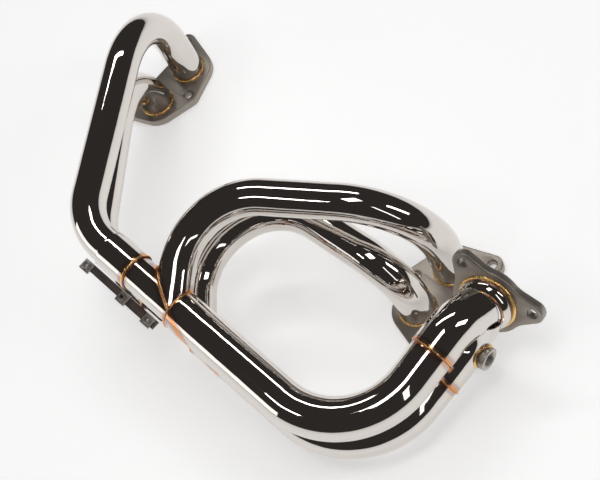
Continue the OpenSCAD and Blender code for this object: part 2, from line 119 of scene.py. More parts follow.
class RouteSizes(PropertyGroup):
    line_length: length("Line length", "Corner to corner along the collector line", 429.24)
    lower_lead: length("Lower lead", "How much sooner the lower line turns at its start", 11)
    lower_lag: length("Lower lag", "How much sooner the lower line turns at its end", 2)
    far_upper_h: length("Far upper height", "Height of the far upper tube's corner", 176)
    far_drop: length("Far drop", "Far lower corner below the far upper one", 62)
    near_upper_h: length("Near upper height", "Height of the near upper tube's corner", 162)
    near_drop: length("Near drop", "Near lower corner below the near upper one", 66)
    upper_merge_at: length("Upper merge", "Where the near upper tube joins the upper line", 157)
    lower_merge_at: length("Lower merge", "Where the near lower tube joins the lower line", 169)
    merge_to_mouth: length("Merge to mouth", "From a merge to the mouth of its secondary", 11)
    upper_turn: offset("Upper turn", "Near upper tube's second corner from its merge",
                       (-66, 106, 33))
    lower_turn: offset("Lower turn", "Near lower tube's second corner from its merge",
                       (-158, 171, 30))
    port_bend: length("Port bend", "Bend radius above a port", 100)
    tight_bend: length("Tight bend", "Bend radius above the near lower port", 60)
    sleeve_bend: length("Sleeve bend", "Bend radius before a slip sleeve", 75)
    merge_bend: length("Merge bend", "Bend radius before a merge", 90)
    secondary_bend: length("Secondary bend", "Bend radius of a secondary", 98)
    elbow_bend: length("Elbow bend", "Bend radius of an outlet elbow", 55)
    elbow_reach: length("Elbow reach", "Outlet face back to the upper elbow's corner", 55)
    elbow_turn: FloatProperty(name="Elbow turn", subtype="ANGLE", default=math.radians(-2),
                              description="Angle that the upper elbow turns to the far row")
    upper_cut: length("Upper cut", "Upper secondary's length after its corner", 140)
    lower_cut: length("Lower cut", "Lower secondary's length after its corner", 131)
    lower_corner: offset("Lower corner", "Lower elbow's corner from the upper one, less a layer",
                         (3, 19, 10))


class PlateSizes(PropertyGroup):
    head_plate: length("Head plate", "Thickness of a head flange", 12)
    port_r: length("Port radius", "Radius of a head flange's ports", 19)
    port_land: length("Port land", "Metal round a primary on a head flange", 10.6)
    ear_out: length("Ear out", "Outer ears' distance from the port row", 35)
    ear_along: length("Ear along", "Outer ears' distance along the port row", 61)
    mid_out: length("Middle ear", "Inner ear's distance from the port row", 30)
    ear_r: length("Ear radius", "Radius of every ear", 13)
    hole_r: length("Hole radius", "Radius of every bolt hole", 5.5)
    edge_round: length("Edge round", "Radius that every flange edge is rounded to", 1.5)
    outlet_plate: length("Outlet plate", "Thickness of the outlet flange", 10)
    outlet_disc_r: length("Outlet disc", "Radius of the outlet flange's round part", 41)
    outlet_pcd: length("Outlet bolt circle", "Diameter of the outlet bolt circle", 103)
    first_bolt: FloatProperty(name="First bolt", subtype="ANGLE", default=math.radians(-4.5),
                              description="Turn of the outlet flange's first bolt hole")


class DetailSizes(PropertyGroup):
    bead: length("Bead", "Radius of a weld bead", 2)
    ripple: length("Ripple", "Length of one ripple of a weld bead", 1.7)
    boss_r: length("Boss radius", "Outside radius of the sensor boss", 13.3)
    boss_height: length("Boss height", "Height of the boss above its elbow", 8.2)
    thread_pitch: length("Thread pitch", "Pitch of the sensor thread", 1.5)
    sheet: length("Sheet", "Thickness of the bracket's sheet", 2)
    rail_w: length("Rail width", "Width of the bracket's rail", 10)
    nut_flats: length("Nut flats", "Width of a bracket nut across its flats", 9)
    nut_hole_r: length("Nut hole", "Radius of a bracket nut's hole", 2.5)
    facets: IntProperty(name="Facets", description="Faces round a tube", default=96, min=24)


class Finishes(PropertyGroup):
    steel: colour("Polished steel", "Mirror-polished tube", (0.72, 0.68, 0.64))
    bore: colour("Bore", "Inside of a tube", (0.34, 0.31, 0.28))
    flange: colour("Flange", "Satin flange steel", (0.30, 0.255, 0.22))
    boss: colour("Boss", "Turned boss steel", (0.36, 0.325, 0.30))
    rail: colour("Rail", "Dark pressed sheet", (0.15, 0.125, 0.11))
    pad: colour("Pad", "Bare bracket pad", (0.55, 0.51, 0.47))
    gold: colour("Gold", "Straw heat tint", (0.95, 0.62, 0.22))
    copper: colour("Copper", "Copper heat tint", (0.72, 0.34, 0.15))
    brown: colour("Brown", "Brown heat tint", (0.30, 0.15, 0.08))
    violet: colour("Violet", "Blue-violet heat tint", (0.22, 0.24, 0.46))
    floor: colour("Floor", "Studio floor", (0.86, 0.86, 0.86))


# ---------------------------------------------------------------- layout of the tubes

def unit(v):
    v = np.asarray(v, float)
    return v / np.linalg.norm(v)


def at(name):
    """A mount's place, as an array."""
    return np.array(mounts[name]["pos_m"], float)


def facing(name):
    return unit(mounts[name]["axis"])


def middle(node):
    low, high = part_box(node)
    return (np.array(low) + np.array(high)) / 2


class Layout:
    """Corner points, directions and weld places, from the frame and the sizes."""

    def __init__(self, scene):
        tubes, routes, plates = scene.manifold_tubes, scene.manifold_routes, scene.manifold_plates
        self.primary_r = tubes.primary_od / 2
        self.secondary_r = tubes.secondary_od / 2
        self.elbow_r = tubes.elbow_od / 2
        self.collar_r = tubes.collar_od / 2
        self.bore_r = self.primary_r + tubes.slip_gap
        self.sleeve_r = self.bore_r + tubes.wall
        self.line = -unit(frame["joints"][0]["axis"])
        half_sleeve = tubes.sleeve_start + tubes.sleeve_len / 2
        upper_mid, lower_mid = middle("upper_slip_sleeve"), middle("lower_slip_sleeve")
        self.upper_start = upper_mid - self.line * half_sleeve
        self.lower_base = lower_mid - self.line * half_sleeve
        drop = lower_mid - upper_mid
        self.upper_end = self.upper_start + self.line * routes.line_length
        self.lower_start = self.lower_base - self.line * routes.lower_lead
        self.lower_end = self.upper_end + drop - self.line * routes.lower_lag
        self.sleeve_end = tubes.sleeve_start + tubes.sleeve_len
        branch = self.sleeve_end - tubes.branch_seat
        self.upper_merge = self.upper_start + self.line * routes.upper_merge_at
        self.lower_merge = self.lower_base + self.line * routes.lower_merge_at
        self.upper_mouth = self.upper_merge + self.line * routes.merge_to_mouth
        self.lower_mouth = self.lower_merge + self.line * routes.merge_to_mouth

        seat = UP * (plates.head_plate - tubes.seat)
        base = {k: at(k) * [1, 1, 0] for k in mounts if k.endswith("_port")}
        self.ports = base
        a, b = base["left_upper_port"], base["left_lower_port"]
        c, d = base["right_upper_port"], base["right_lower_port"]
        low_h = routes.far_upper_h - routes.far_drop
        near_low_h = routes.near_upper_h - routes.near_drop
        end_gap = 1 * MM
        self.upper_turn = self.upper_merge + np.array(routes.upper_turn)
        self.lower_turn = self.lower_merge + np.array(routes.lower_turn)
        self.upper_in = unit(self.upper_merge - self.upper_turn)
        self.lower_in = unit(self.lower_merge - self.lower_turn)
        past = 22 * MM              # how far a near primary runs on, to be cut at the line
        elbow_seat = 4 * MM

        self.outlet_dir = facing("outlet_bolts")
        self.outlet = at("outlet_bolts") - self.outlet_dir * plates.outlet_plate / 2
        level = math.sqrt(1 - self.outlet_dir[2] ** 2)
        self.elbow_dir = np.array([-math.sin(routes.elbow_turn) * level,
                                   math.cos(routes.elbow_turn) * level, self.outlet_dir[2]])
        upper_corner = self.outlet - self.elbow_dir * routes.elbow_reach
        lower_corner = upper_corner + np.array(routes.lower_corner) + drop
        elbow_end = self.outlet - self.elbow_dir * (tubes.collar_len - elbow_seat)
        aim = self.outlet - self.outlet_dir * (tubes.collar_len + end_gap)
        self.upper_leg = unit(upper_corner - self.upper_end)
        self.lower_leg = unit(lower_corner - self.lower_end)
        self.upper_joint = self.upper_end + self.upper_leg * routes.upper_cut
        self.lower_joint = self.lower_end + self.lower_leg * routes.lower_cut
        self.collar_face = self.outlet - self.outlet_dir * tubes.collar_len
        self.route = {
            "left_upper_primary": Route([a + seat, a + UP * routes.far_upper_h, self.upper_start,
                                         self.upper_start + self.line * (branch - end_gap)],
                                        [routes.port_bend, routes.sleeve_bend]),
            "left_lower_primary": Route([b + seat, b + UP * low_h, self.lower_start,
                                         self.lower_base + self.line * (branch - end_gap)],
                                        [routes.port_bend, routes.sleeve_bend]),
            "right_upper_primary": Route([c + seat, c + UP * routes.near_upper_h,
                                          self.upper_turn,
                                          self.upper_merge + self.upper_in * past],
                                         [routes.port_bend, routes.merge_bend]),
            "right_lower_primary": Route([d + seat, d + UP * near_low_h, self.lower_turn,
                                          self.lower_merge + self.lower_in * past],
                                         [routes.tight_bend, routes.merge_bend]),
            "upper_branch_tube": Route([self.upper_start + self.line * branch,
                                        self.upper_mouth], []),
            "lower_branch_tube": Route([self.lower_base + self.line * branch,
                                        self.lower_mouth], []),
            "upper_secondary": Route([self.upper_mouth, self.upper_end, self.upper_joint],
                                     [routes.secondary_bend]),
            "lower_secondary": Route([self.lower_mouth, self.lower_end, self.lower_joint],
                                     [routes.secondary_bend]),
            "upper_outlet_elbow": Route([self.upper_joint, upper_corner, elbow_end],
                                        [routes.elbow_bend]),
            "lower_outlet_elbow": Route([self.lower_joint, lower_corner,
                                         aim - unit(aim - lower_corner) * elbow_seat],
                                        [routes.elbow_bend]),
        }
        self.seams = self.find_seams(plates)

    def find_seams(self, plates):
        """Each weld as a point, the direction across it and how far from the point it reaches."""
        beside, along_oval = 1.4, 3
        seams = [(p + UP * plates.head_plate, UP, beside * self.primary_r) for p in
                 self.ports.values()]
        for start, mouth in ((self.upper_start, self.upper_mouth),
                             (self.lower_base, self.lower_mouth)):
            seams.append((start + self.line * self.sleeve_end, self.line, beside * self.sleeve_r))
            seams.append((mouth, self.line, beside * self.secondary_r))
        seams.append((self.upper_joint, self.upper_leg, beside * self.elbow_r))
        seams.append((self.lower_joint, self.lower_leg, beside * self.elbow_r))
        seams.append((self.outlet, self.outlet_dir, beside * self.collar_r))
        for merge, way in ((self.upper_merge, self.upper_in), (self.lower_merge, self.lower_in)):
            seams.append((merge, unit(self.line - way), along_oval * self.primary_r))
        return seams


class Route:
    """Centreline of a tube: straight legs with a bend at each inner corner."""

    least_leg = 2 * MM
    port_leg = 11 * MM
    step = 4 * MM
    bend_step = 0.6             # of a step, between points in a bend
    shared_leg = 0.75           # of a leg that the next bend needs too

    def __init__(self, corners, bends):
        self.corners = [np.asarray(c, float) for c in corners]
        self.bends = self.eased(bends)

    def turn(self, i):
        a, b, c = self.corners[i - 1:i + 2]
        return math.acos(np.clip(unit(b - a) @ unit(c - b), -1, 1))

    def eased(self, bends):
        """Bend radii, each limited by the legs beside it."""
        used, out, last = 0, [], len(self.corners) - 2
        for i, bend in enumerate(bends, 1):
            half = math.tan(self.turn(i) / 2)
            before = np.linalg.norm(self.corners[i] - self.corners[i - 1])
            after = np.linalg.norm(self.corners[i + 1] - self.corners[i])
            share = 1 if i == last else self.shared_leg
            straight = self.port_leg if i == 1 else self.least_leg
            fit = min(bend, (before - used - straight) / half,
                      (after * share - self.least_leg) / half)
            out.append(fit)
            used = fit * half
        return out

    def points(self):
        """Points and directions along the route, with the length to each."""
        p, d = [self.corners[0]], [unit(self.corners[1] - self.corners[0])]
        for i, bend in enumerate(self.bends, 1):
            turn = self.turn(i)
            go_in = unit(self.corners[i] - self.corners[i - 1])
            go_out = unit(self.corners[i + 1] - self.corners[i])
            begin = self.corners[i] - go_in * bend * math.tan(turn / 2)
            side = unit(go_out - go_in * (go_in @ go_out))
            self.leg(p, d, begin)
            count = max(4, int(math.ceil(turn * bend / (self.bend_step * self.step))))
            for k in range(1, count + 1):
                angle = turn * k / count
                p.append(begin + bend * (go_in * math.sin(angle) + side * (1 - math.cos(angle))))
                d.append(go_in * math.cos(angle) + side * math.sin(angle))
        self.leg(p, d, self.corners[-1])
        p, d = np.array(p), np.array(d)
        s = np.concatenate([[0], np.cumsum(np.linalg.norm(np.diff(p, axis=0), axis=1))])
        return p, d, s

    def leg(self, p, d, to):
        start, way = p[-1], unit(to - p[-1])
        count = max(1, int(round(np.linalg.norm(to - start) / self.step)))
        for k in range(1, count + 1):
            p.append(start + (to - start) * k / count)
            d.append(way)


# ---------------------------------------------------------------- meshes

def frames_along(dirs):
    """Two directions across each of dirs, carried along without twist."""
    x = np.cross(dirs[0], ASKEW)
    x = unit(x - dirs[0] * (x @ dirs[0]))
    out = []
    for way in dirs:
        x = unit(x - way * (x @ way))
        out.append((x, np.cross(way, x)))
    return out


def join_points(mesh, reach):
    """Joins points that lie within reach of each other and turns every face outward."""
    bm = bmesh.new()
    bm.from_mesh(mesh)
    bmesh.ops.remove_doubles(bm, verts=bm.verts, dist=reach)
    bmesh.ops.recalc_face_normals(bm, faces=bm.faces)
    bm.to_mesh(mesh)
    bm.free()


def turns(facets):
    """Angles of the points round a ring."""
    return np.arange(facets) * (2 * math.pi / facets)


class Shape:
    """Vertices, faces and what is painted on them, gathered before they become a mesh."""

    def __init__(self):
        self.verts, self.faces, self.slots, self.uvs = [], [], [], []

    def grid(self, rows, closed_v=False, slot=0):
        """A skin over rings of points; the last ring joins the first when closed_v is true."""
        base, n, m = len(self.verts), len(rows[0]), len(rows)
        for row in rows:
            self.verts.extend(row)
        for j in range(m if closed_v else m - 1):
            k = (j + 1) % m
            for i in range(n):
                q = (i + 1) % n
                face = [base + j * n + i, base + j * n + q, base + k * n + q, base + k * n + i]
                uv = [(i / n, j / m), ((i + 1) / n, j / m), ((i + 1) / n, (j + 1) / m),
                      (i / n, (j + 1) / m)]
                self.faces.append(face)
                self.uvs.append(uv)
                self.slots.append(slot)

    def close_ends(self, n):
        """Caps the first and the last ring, which have n points each."""
        last = len(self.verts) - n
        self.faces += [list(range(n - 1, -1, -1)), list(range(last, last + n))]
        self.uvs += [[(0, 0)] * n] * 2
        self.slots += [0, 0]

    def mesh(self, name, materials, sharp=math.radians(35), weld=TOUCHING):
        made = bpy.data.meshes.new(name)
        made.from_pydata([tuple(v) for v in self.verts], [], self.faces)
        layer = made.uv_layers.new(name="UVMap")
        flat = [c for face in self.uvs for pair in face for c in pair]
        layer.data.foreach_set("uv", flat)
        for material in materials:
            made.materials.append(material)
        made.polygons.foreach_set("material_index", self.slots)
        join_points(made, weld)
        made.shade_smooth()
        made.set_sharp_from_angle(angle=sharp)
        return made


def place(mesh, name, body, nodes=()):
    """Links a mesh as a piece of the object, riding on its body."""
    piece = bpy.data.objects.new(name, mesh)
    bpy.context.scene.collection.objects.link(piece)
    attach(piece, body)
    if nodes:
        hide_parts(*nodes)
    return piece


def paint(mesh, name, values):
    layer = mesh.attributes.new(name, "FLOAT", "POINT")
    layer.data.foreach_set("value", np.asarray(values, np.float32))


def coordinates(mesh):
    co = np.zeros(len(mesh.vertices) * 3)
    mesh.vertices.foreach_get("co", co)
    return co.reshape(-1, 3)


def paint_heat(mesh, layout):
    """Paints how far each point lies from its nearest weld, in metres."""
    co = coordinates(mesh)
    near = np.full(len(co), 1.0)
    for point, across, reach in layout.seams:
        rel = co - point
        inside = np.linalg.norm(rel, axis=1) < reach
        near = np.where(inside, np.minimum(near, np.abs(rel @ across)), near)
    paint(mesh, "seam_gap", near)


def ring_points(centre, x, y, r, facets):
    turn = turns(facets)
    return centre + r * (np.cos(turn)[:, None] * x + np.sin(turn)[:, None] * y)


def tube_shape(route, r, wall, facets, lip=0.25 * MM):
    """A tube with wall thickness: skin, two rounded ends and bore."""
    p, d, s = route.points()
    across = frames_along(d)
    inner_r = r - wall
    shape = Shape()
    rows = []
    total = s[-1]

    def at_length(length_along):
        i = int(np.clip(np.searchsorted(s, length_along) - 1, 0, len(s) - 2))
        t = (length_along - s[i]) / (s[i + 1] - s[i])
        return p[i] + (p[i + 1] - p[i]) * t, across[i]

    def ring(length_along, radius):
        centre, (x, y) = at_length(length_along)
        return ring_points(centre, x, y, radius, facets)

    keep = [i for i in range(len(s)) if lip < s[i] < total - lip]
    rows.append(ring(0, r - lip))
    rows.append(ring(0.3 * lip, r - 0.3 * lip))
    rows.append(ring(lip, r))
    for i in keep:
        x, y = across[i]
        rows.append(ring_points(p[i], x, y, r, facets))
    rows.append(ring(total - lip, r))
    rows.append(ring(total - 0.3 * lip, r - 0.3 * lip))
    rows.append(ring(total, r - lip))
    shape.grid(rows, slot=0)
    shape.grid([ring(total, r - lip), ring(total, inner_r)], slot=0)
    shape.grid([ring(0, inner_r), ring(0, r - lip)], slot=0)
    inner = [ring(total, inner_r)] + [ring_points(p[i], *across[i], inner_r, facets)
                                      for i in reversed(keep)] + [ring(0, inner_r)]
    shape.grid(inner, slot=1)
    return shape


def bar_mesh(name, route, r, facets, end_past=0.0):
    """A closed round bar along a route, to cut with."""
    p, d, _ = route.points()
    p[-1] = p[-1] + d[-1] * end_past
    across = frames_along(d)
    shape = Shape()
    shape.grid([ring_points(c, x, y, r, facets) for c, (x, y) in zip(p, across)])
    shape.close_ends(facets)
    return shape.mesh(name, [])


def half_space_mesh(point, way, reach=110 * MM):
    """A block that covers the side of a plane that way points to, as far as reach."""
    x, y = frames_along([unit(way)])[0]
    low = [point + reach * (sx * x + sy * y) for sx, sy in ((-1, -1), (1, -1), (1, 1), (-1, 1))]
    high = [v + unit(way) * reach for v in low]
    shape = Shape()
    shape.verts = low + high
    shape.faces = [[3, 2, 1, 0], [4, 5, 6, 7], [0, 1, 5, 4], [1, 2, 6, 5], [2, 3, 7, 6],
                   [3, 0, 4, 7]]
    shape.uvs = [[(0, 0)] * 4] * 6
    shape.slots = [0] * 6
    return shape.mesh("cutter", [])


def cut(mesh, cutters):
    """The mesh less each cutter, by exact booleans."""
    scene = bpy.context.scene
    body = bpy.data.objects.new("cut_body", mesh)
    scene.collection.objects.link(body)
    tools = []
    for cutter in cutters:
        tool = bpy.data.objects.new("cut_tool", cutter)
        scene.collection.objects.link(tool)
        tools.append(tool)
        mod = body.modifiers.new("cut", "BOOLEAN")
        mod.operation, mod.solver, mod.object = "DIFFERENCE", "EXACT", tool
    bpy.context.view_layer.update()
    ready = body.evaluated_get(bpy.context.evaluated_depsgraph_get())
    made = bpy.data.meshes.new_from_object(ready)
    made.name = mesh.name + "_cut"
    for o in [body] + tools:
        bpy.data.objects.remove(o)
    return made


def aim_normals(mesh, skins):
    """Sets each corner's normal on a tube's outer skin square to the tube's centreline. All
    other faces keep their own."""
    skin_depth, outward = 0.12 * MM, 0.93
    mesh.update()
    count = len(mesh.loops)
    normals = np.zeros(count * 3)
    mesh.corner_normals.foreach_get("vector", normals)
    normals = normals.reshape(-1, 3)
    index = np.zeros(count, np.int32)
    mesh.loops.foreach_get("vertex_index", index)
    co = coordinates(mesh)
    face_normal = np.zeros((count, 3))
    for poly in mesh.polygons:
        face_normal[poly.loop_indices] = poly.normal
    for route, r in skins:
        p, d, _ = route.points()
        best = np.full(len(co), -1)
        dist = np.full(len(co), 9.0)
        for k in range(len(p) - 1):
            leg = p[k + 1] - p[k]
            t = np.clip((co - p[k]) @ leg / (leg @ leg), 0, 1)
            away = np.linalg.norm(co - (p[k] + t[:, None] * leg), axis=1)
            closer = away < dist
            best[closer], dist[closer] = k, away[closer]
        t = np.einsum("ij,ij->i", co - p[best], p[best + 1] - p[best]) / np.einsum(
            "ij,ij->i", p[best + 1] - p[best], p[best + 1] - p[best])
        t = np.clip(t, 0, 1)[:, None]
        centre = p[best] * (1 - t) + p[best + 1] * t
        way = d[best] * (1 - t) + d[best + 1] * t
        out = co - centre
        out -= way * np.einsum("ij,ij->i", out, way)[:, None]
        gap = np.linalg.norm(out, axis=1)
        out = out / np.maximum(gap, 1e-9)[:, None]
        on_skin = (np.abs(gap - r) < skin_depth)[index]
        same = np.einsum("ij,ij->i", out[index], face_normal) > outward
        use = on_skin & same
        normals[use] = out[index][use]
    mesh.normals_split_custom_set([tuple(n) for n in normals])


# ---------------------------------------------------------------- weld beads

def bead_mesh(name, path, ups, sides, materials, radius, lift, ripple, closed=True, seed=0.0):
    """A rippled weld bead along a path: a stack of small overlapping crescents."""
    path, ups, sides = np.array(path), np.array(ups), np.array(sides)
    steps = np.linalg.norm(np.diff(path, axis=0, append=path[:1] if closed else path[-1:]), axis=1)
    s = np.concatenate([[0], np.cumsum(steps)])[:len(path)]
    total = steps.sum()
    waves = max(1, round(total / ripple))
    turn = np.linspace(0, 2 * math.pi, BEAD_SIDES + 1)[:-1]
    lift = np.broadcast_to(lift, (len(path),))
    rows, crest = [], []
    for i in range(len(path)):
        side, rise = np.cos(turn), np.sin(turn)
        phase = s[i] / total * waves - 0.42 * side ** 2 + seed
        saw = phase - np.floor(phase)
        wobble = 0.05 * math.sin(s[i] * 410 + seed * 9) + 0.04 * math.sin(s[i] * 233 + seed * 5)
        swell = radius * (1 + wobble + 0.10 * np.sqrt(np.clip(1 - saw, 0, 1)) - 0.05)
        off = (side * swell * 1.15)[:, None] * sides[i] + (rise * swell)[:, None] * ups[i]
        rows.append(path[i] + ups[i] * lift[i] + off)
        crest.append(np.abs(side))
    shape = Shape()
    shape.grid(rows, closed_v=closed)
    if not closed:
        shape.close_ends(len(turn))
    made = shape.mesh(name, materials, sharp=math.radians(60), weld=1e-8)
    paint(made, "across", np.concatenate(crest))
    return made


def ring_bead(name, centre, way, r, materials, radius, lift, ripple, seed=0.0, lean=0.0):
    """A bead round a circle. lean tips it from the tube toward the way it faces."""
    x, y = frames_along([unit(way)])[0]
    count = int(2 * math.pi * r / ripple * 7)
    turn = turns(count)
    out = np.cos(turn)[:, None] * x + np.sin(turn)[:, None] * y
    ups = out * math.cos(lean) + unit(way) * math.sin(lean)
    sides = unit(way) * math.cos(lean) - out * math.sin(lean)
    return bead_mesh(name, centre + out * r, ups, sides, materials, radius, lift, ripple,
                     seed=seed)


# ---------------------------------------------------------------- plates

def tangent_web(a, ra, b, rb):
    """Where the outer tangents of two circles touch them, on the left of a to b, then right."""
    a, b = np.array(a), np.array(b)
    reach = np.linalg.norm(b - a)
    heading = math.atan2(*(b - a)[::-1])
    lean = math.acos((ra - rb) / reach)
    return heading + lean, heading - lean


def plate_mesh(name, rings, thickness, edge, materials, matrix):
    """A plate with rounded edges: the first ring is its outline, the rest are holes."""
    curve = bpy.data.curves.new(name, "CURVE")
    curve.dimensions, curve.fill_mode = "2D", "BOTH"
    curve.extrude = thickness / 2 - edge
    curve.bevel_depth, curve.bevel_resolution = edge, 3
    curve.offset = -edge
    for ring in rings:
        spline = curve.splines.new("POLY")
        spline.points.add(len(ring) - 1)
        for point, (x, y) in zip(spline.points, ring):
            point.co = (x, y, 0, 1)
        spline.use_cyclic_u = True
    holder = bpy.data.objects.new(name, curve)
    bpy.context.scene.collection.objects.link(holder)
    bpy.context.view_layer.update()
    ready = holder.evaluated_get(bpy.context.evaluated_depsgraph_get())
    made = bpy.data.meshes.new_from_object(ready)
    bpy.data.objects.remove(holder)
    join_points(made, TOUCHING)
    rim = np.abs(coordinates(made)[:, 2]) / (thickness / 2)
    made.transform(Matrix.Translation((0, 0, thickness / 2)))
    made.transform(matrix)
    paint(made, "rim", rim)
    made.materials.clear()
    for material in materials:
        made.materials.append(material)
    made.shade_smooth()
    made.set_sharp_from_angle(angle=math.radians(40))
    return made


def circle(centre, r, facets=72):
    return [(centre[0] + r * math.cos(2 * math.pi * k / facets),
             centre[1] + r * math.sin(2 * math.pi * k / facets)) for k in range(facets)]


# ---------------------------------------------------------------- materials

class Value:
    """One socket of a shader, with arithmetic that adds Math nodes."""

    def __init__(self, shader, socket):
        self.shader, self.socket = shader, socket

    def _math(self, kind, a, b=None, clamp=False):
        values = {0: a} if b is None else {0: a, 1: b}
        return self.shader.node("ShaderNodeMath", {"operation": kind, "use_clamp": clamp},
                                values)[0]

    def __add__(self, other):
        return self._math("ADD", self, other)

    def __sub__(self, other):
        return self._math("SUBTRACT", self, other)

    def __mul__(self, other):
        return self._math("MULTIPLY", self, other)

    def __truediv__(self, other):
        return self._math("DIVIDE", self, other)

    def __rsub__(self, other):
        return self._math("SUBTRACT", other, self)

    __radd__, __rmul__ = __add__, __mul__

    def clamp(self):
        return self._math("ADD", self, 0.0, clamp=True)

    def span(self, low, high):
        """0 at low, 1 at high, and held beyond them."""
        return ((self - low) / (high - low)).clamp()


class Shader:
    """Builds one material's nodes."""

    def __init__(self, name):
        self.material = bpy.data.materials.new(name)
        self.material.use_nodes = True
        self.tree = self.material.node_tree
        self.surface = self.tree.nodes["Principled BSDF"]

    def node(self, kind, settings=None, values=None):
        """Adds a node: settings first, then the values or links of its sockets. Returns its
        outputs as Values, by place or by name."""
        made = self.tree.nodes.new(kind)
        for key, value in (settings or {}).items():
            if key == "stops":
                ramp = made.color_ramp
                while len(ramp.elements) < len(value):
                    ramp.elements.new(0.5)
                for element, (place_, rgb) in zip(ramp.elements, value):
                    element.position, element.color = place_, (*rgb, 1)
            else:
                setattr(made, key, value)
        for key, value in (values or {}).items():
            self.feed(made.inputs[key], value)
        return Outputs(self, made)

    def feed(self, socket, value):
        if isinstance(value, Value):
            self.tree.links.new(value.socket, socket)
        elif hasattr(value, "__len__") and len(value) == 3 and socket.type == "RGBA":
            socket.default_value = (*value, 1)
        else:
            socket.default_value = value

    def mix(self, factor, a, b, kind="MIX"):
        """A colour between a and b."""
        return self.node("ShaderNodeMix", {"data_type": "RGBA", "blend_type": kind},
                         {"Factor": factor, 6: a, 7: b})[2]

    def noise(self, where, scale, detail=2.0, roughness=0.5):
        return self.node("ShaderNodeTexNoise", {},
                         {"Vector": where, "Scale": scale, "Detail": detail,
                          "Roughness": roughness})["Fac"]

    def stretched(self, where, scale):
        return self.node("ShaderNodeVectorMath", {"operation": "MULTIPLY"},
                         {0: where, 1: scale})[0]

    def attribute(self, name):
        return self.node("ShaderNodeAttribute", {"attribute_name": name})["Fac"]

    def where(self):
        return self.node("ShaderNodeTexCoord")["Object"]

    def bump(self, height, distance, strength=1.0):
        return self.node("ShaderNodeBump", {},
                         {"Height": height, "Distance": distance, "Strength": strength})[0]

    def finish(self, **values):
        for key, value in values.items():
            self.feed(self.surface.inputs[key.replace("_", " ").title()], value)
        return self.material


class Outputs:
    """A node's outputs as Values."""

    def __init__(self, shader, made):
        self.shader, self.made = shader, made

    def __getitem__(self, key):
        return Value(self.shader, self.made.outputs[key])


def made_once(build):
    """Keeps one material for all the pieces that share it."""
    def get():
        name = build.__name__
        return bpy.data.materials.get(name) or build(name, bpy.context.scene.manifold_finishes)
    return get


@made_once
def polished_steel(name, finishes):
    """Mirror-polished tube, with heat tint beside its welds."""
    s = Shader(name)
    where = s.where()
    slow = s.noise(where, 22.0, 2.0)
    fine = s.noise(where, 260.0, 3.0)
    heat = s.attribute("seam_gap") + (s.noise(where, 150.0, 2.0) - 0.5) * 0.004
    steel = tuple(finishes.steel)
    cloudy = s.mix(slow, steel, tuple(c * 0.94 for c in steel))
    straw = s.mix(heat.span(0.0115, 0.0065), cloudy, tuple(
        c * k for c, k in zip(steel, (1.0, 0.90, 0.74))))
    blue = s.mix(heat.span(0.0072, 0.0052), straw, tuple(
        c * k for c, k in zip(steel, (0.62, 0.62, 0.78))))
    tinted = s.mix(heat.span(0.0048, 0.0024), blue, tuple(finishes.copper))
    rough = 0.035 + (fine - 0.5) * 0.03 + heat.span(0.006, 0.002) * 0.14
    ripple = s.noise(where, 38.0, 2.0, 0.4)
    return s.finish(base_color=tinted, metallic=1.0, roughness=rough,
                    normal=s.bump(ripple, 0.0006, 0.5))


@made_once
def tube_bore(name, finishes):
    """Inside of a tube: drawn, unpolished and a little brown."""
    s = Shader(name)
    where = s.where()
    patches = s.noise(where, 60.0, 4.0)
    dull = tuple(finishes.bore)
    return s.finish(base_color=s.mix(patches, dull, tuple(c * 0.6 for c in dull)), metallic=1.0,
                    roughness=0.42 + patches * 0.15,
                    normal=s.bump(s.noise(where, 900.0, 2.0), 0.0002, 0.4))


def weld_colours(name, finishes, bright):
    """Heat-tinted bead: gold on its crest, copper and blue-violet toward its edges."""
    s = Shader(name)
    where = s.where()
    across = s.attribute("across")
    patch = s.noise(where, 70.0, 3.0)
    speck = s.noise(where, 900.0, 2.0)
    crest = s.mix((patch + bright - 0.5).span(0.35, 0.62), tuple(finishes.copper),
                  tuple(finishes.gold))
    edge = s.mix(patch.span(0.42, 0.6), tuple(finishes.brown), tuple(finishes.violet))
    both = s.mix(across.span(0.45, 0.95), crest, edge)
    return s.finish(base_color=both, metallic=1.0, roughness=0.2 + speck * 0.14,
                    normal=s.bump(speck, 0.0002, 0.35))


@made_once
def gold_weld(name, finishes):
    return weld_colours(name, finishes, 0.66)


@made_once
def copper_weld(name, finishes):
    return weld_colours(name, finishes, 0.42)


@made_once
def flange_steel(name, finishes):
    """Satin plate with a fine grain, lighter where its edges are rubbed."""
    s = Shader(name)
    where = s.where()
    grain = s.noise(where, 1400.0, 3.0, 0.6)
    cloud = s.noise(where, 55.0, 4.0, 0.55)
    base = tuple(finishes.flange)
    face = s.mix(cloud.span(0.35, 0.68), tuple(c * 0.82 for c in base),
                 tuple(min(1, c * 1.22) for c in base))
    rim = s.attribute("rim")
    rubbed = rim.span(0.74, 0.84) * (1 - rim.span(0.985, 0.999)) * cloud.span(0.25, 0.6)
    worn = s.mix(rubbed * 0.7, face, tuple(min(1, c * 1.75) for c in base))
    return s.finish(base_color=worn, metallic=1.0, roughness=0.34 + cloud * 0.14,
                    normal=s.bump(grain + cloud * 0.6, 0.00035, 0.55))


@made_once
def boss_steel(name, finishes):
    """Turned boss with fine tool marks."""
    s = Shader(name)
    where = s.where()
    marks = s.noise(s.stretched(where, (2400.0, 60.0, 60.0)), 1.0, 2.0)
    cloud = s.noise(where, 120.0, 3.0)
    base = tuple(finishes.boss)
    return s.finish(base_color=s.mix(cloud, tuple(c * 0.8 for c in base),
                                     tuple(min(1, c * 1.25) for c in base)),
                    metallic=1.0, roughness=0.34 + marks * 0.12,
                    normal=s.bump(marks, 0.0002, 0.5))


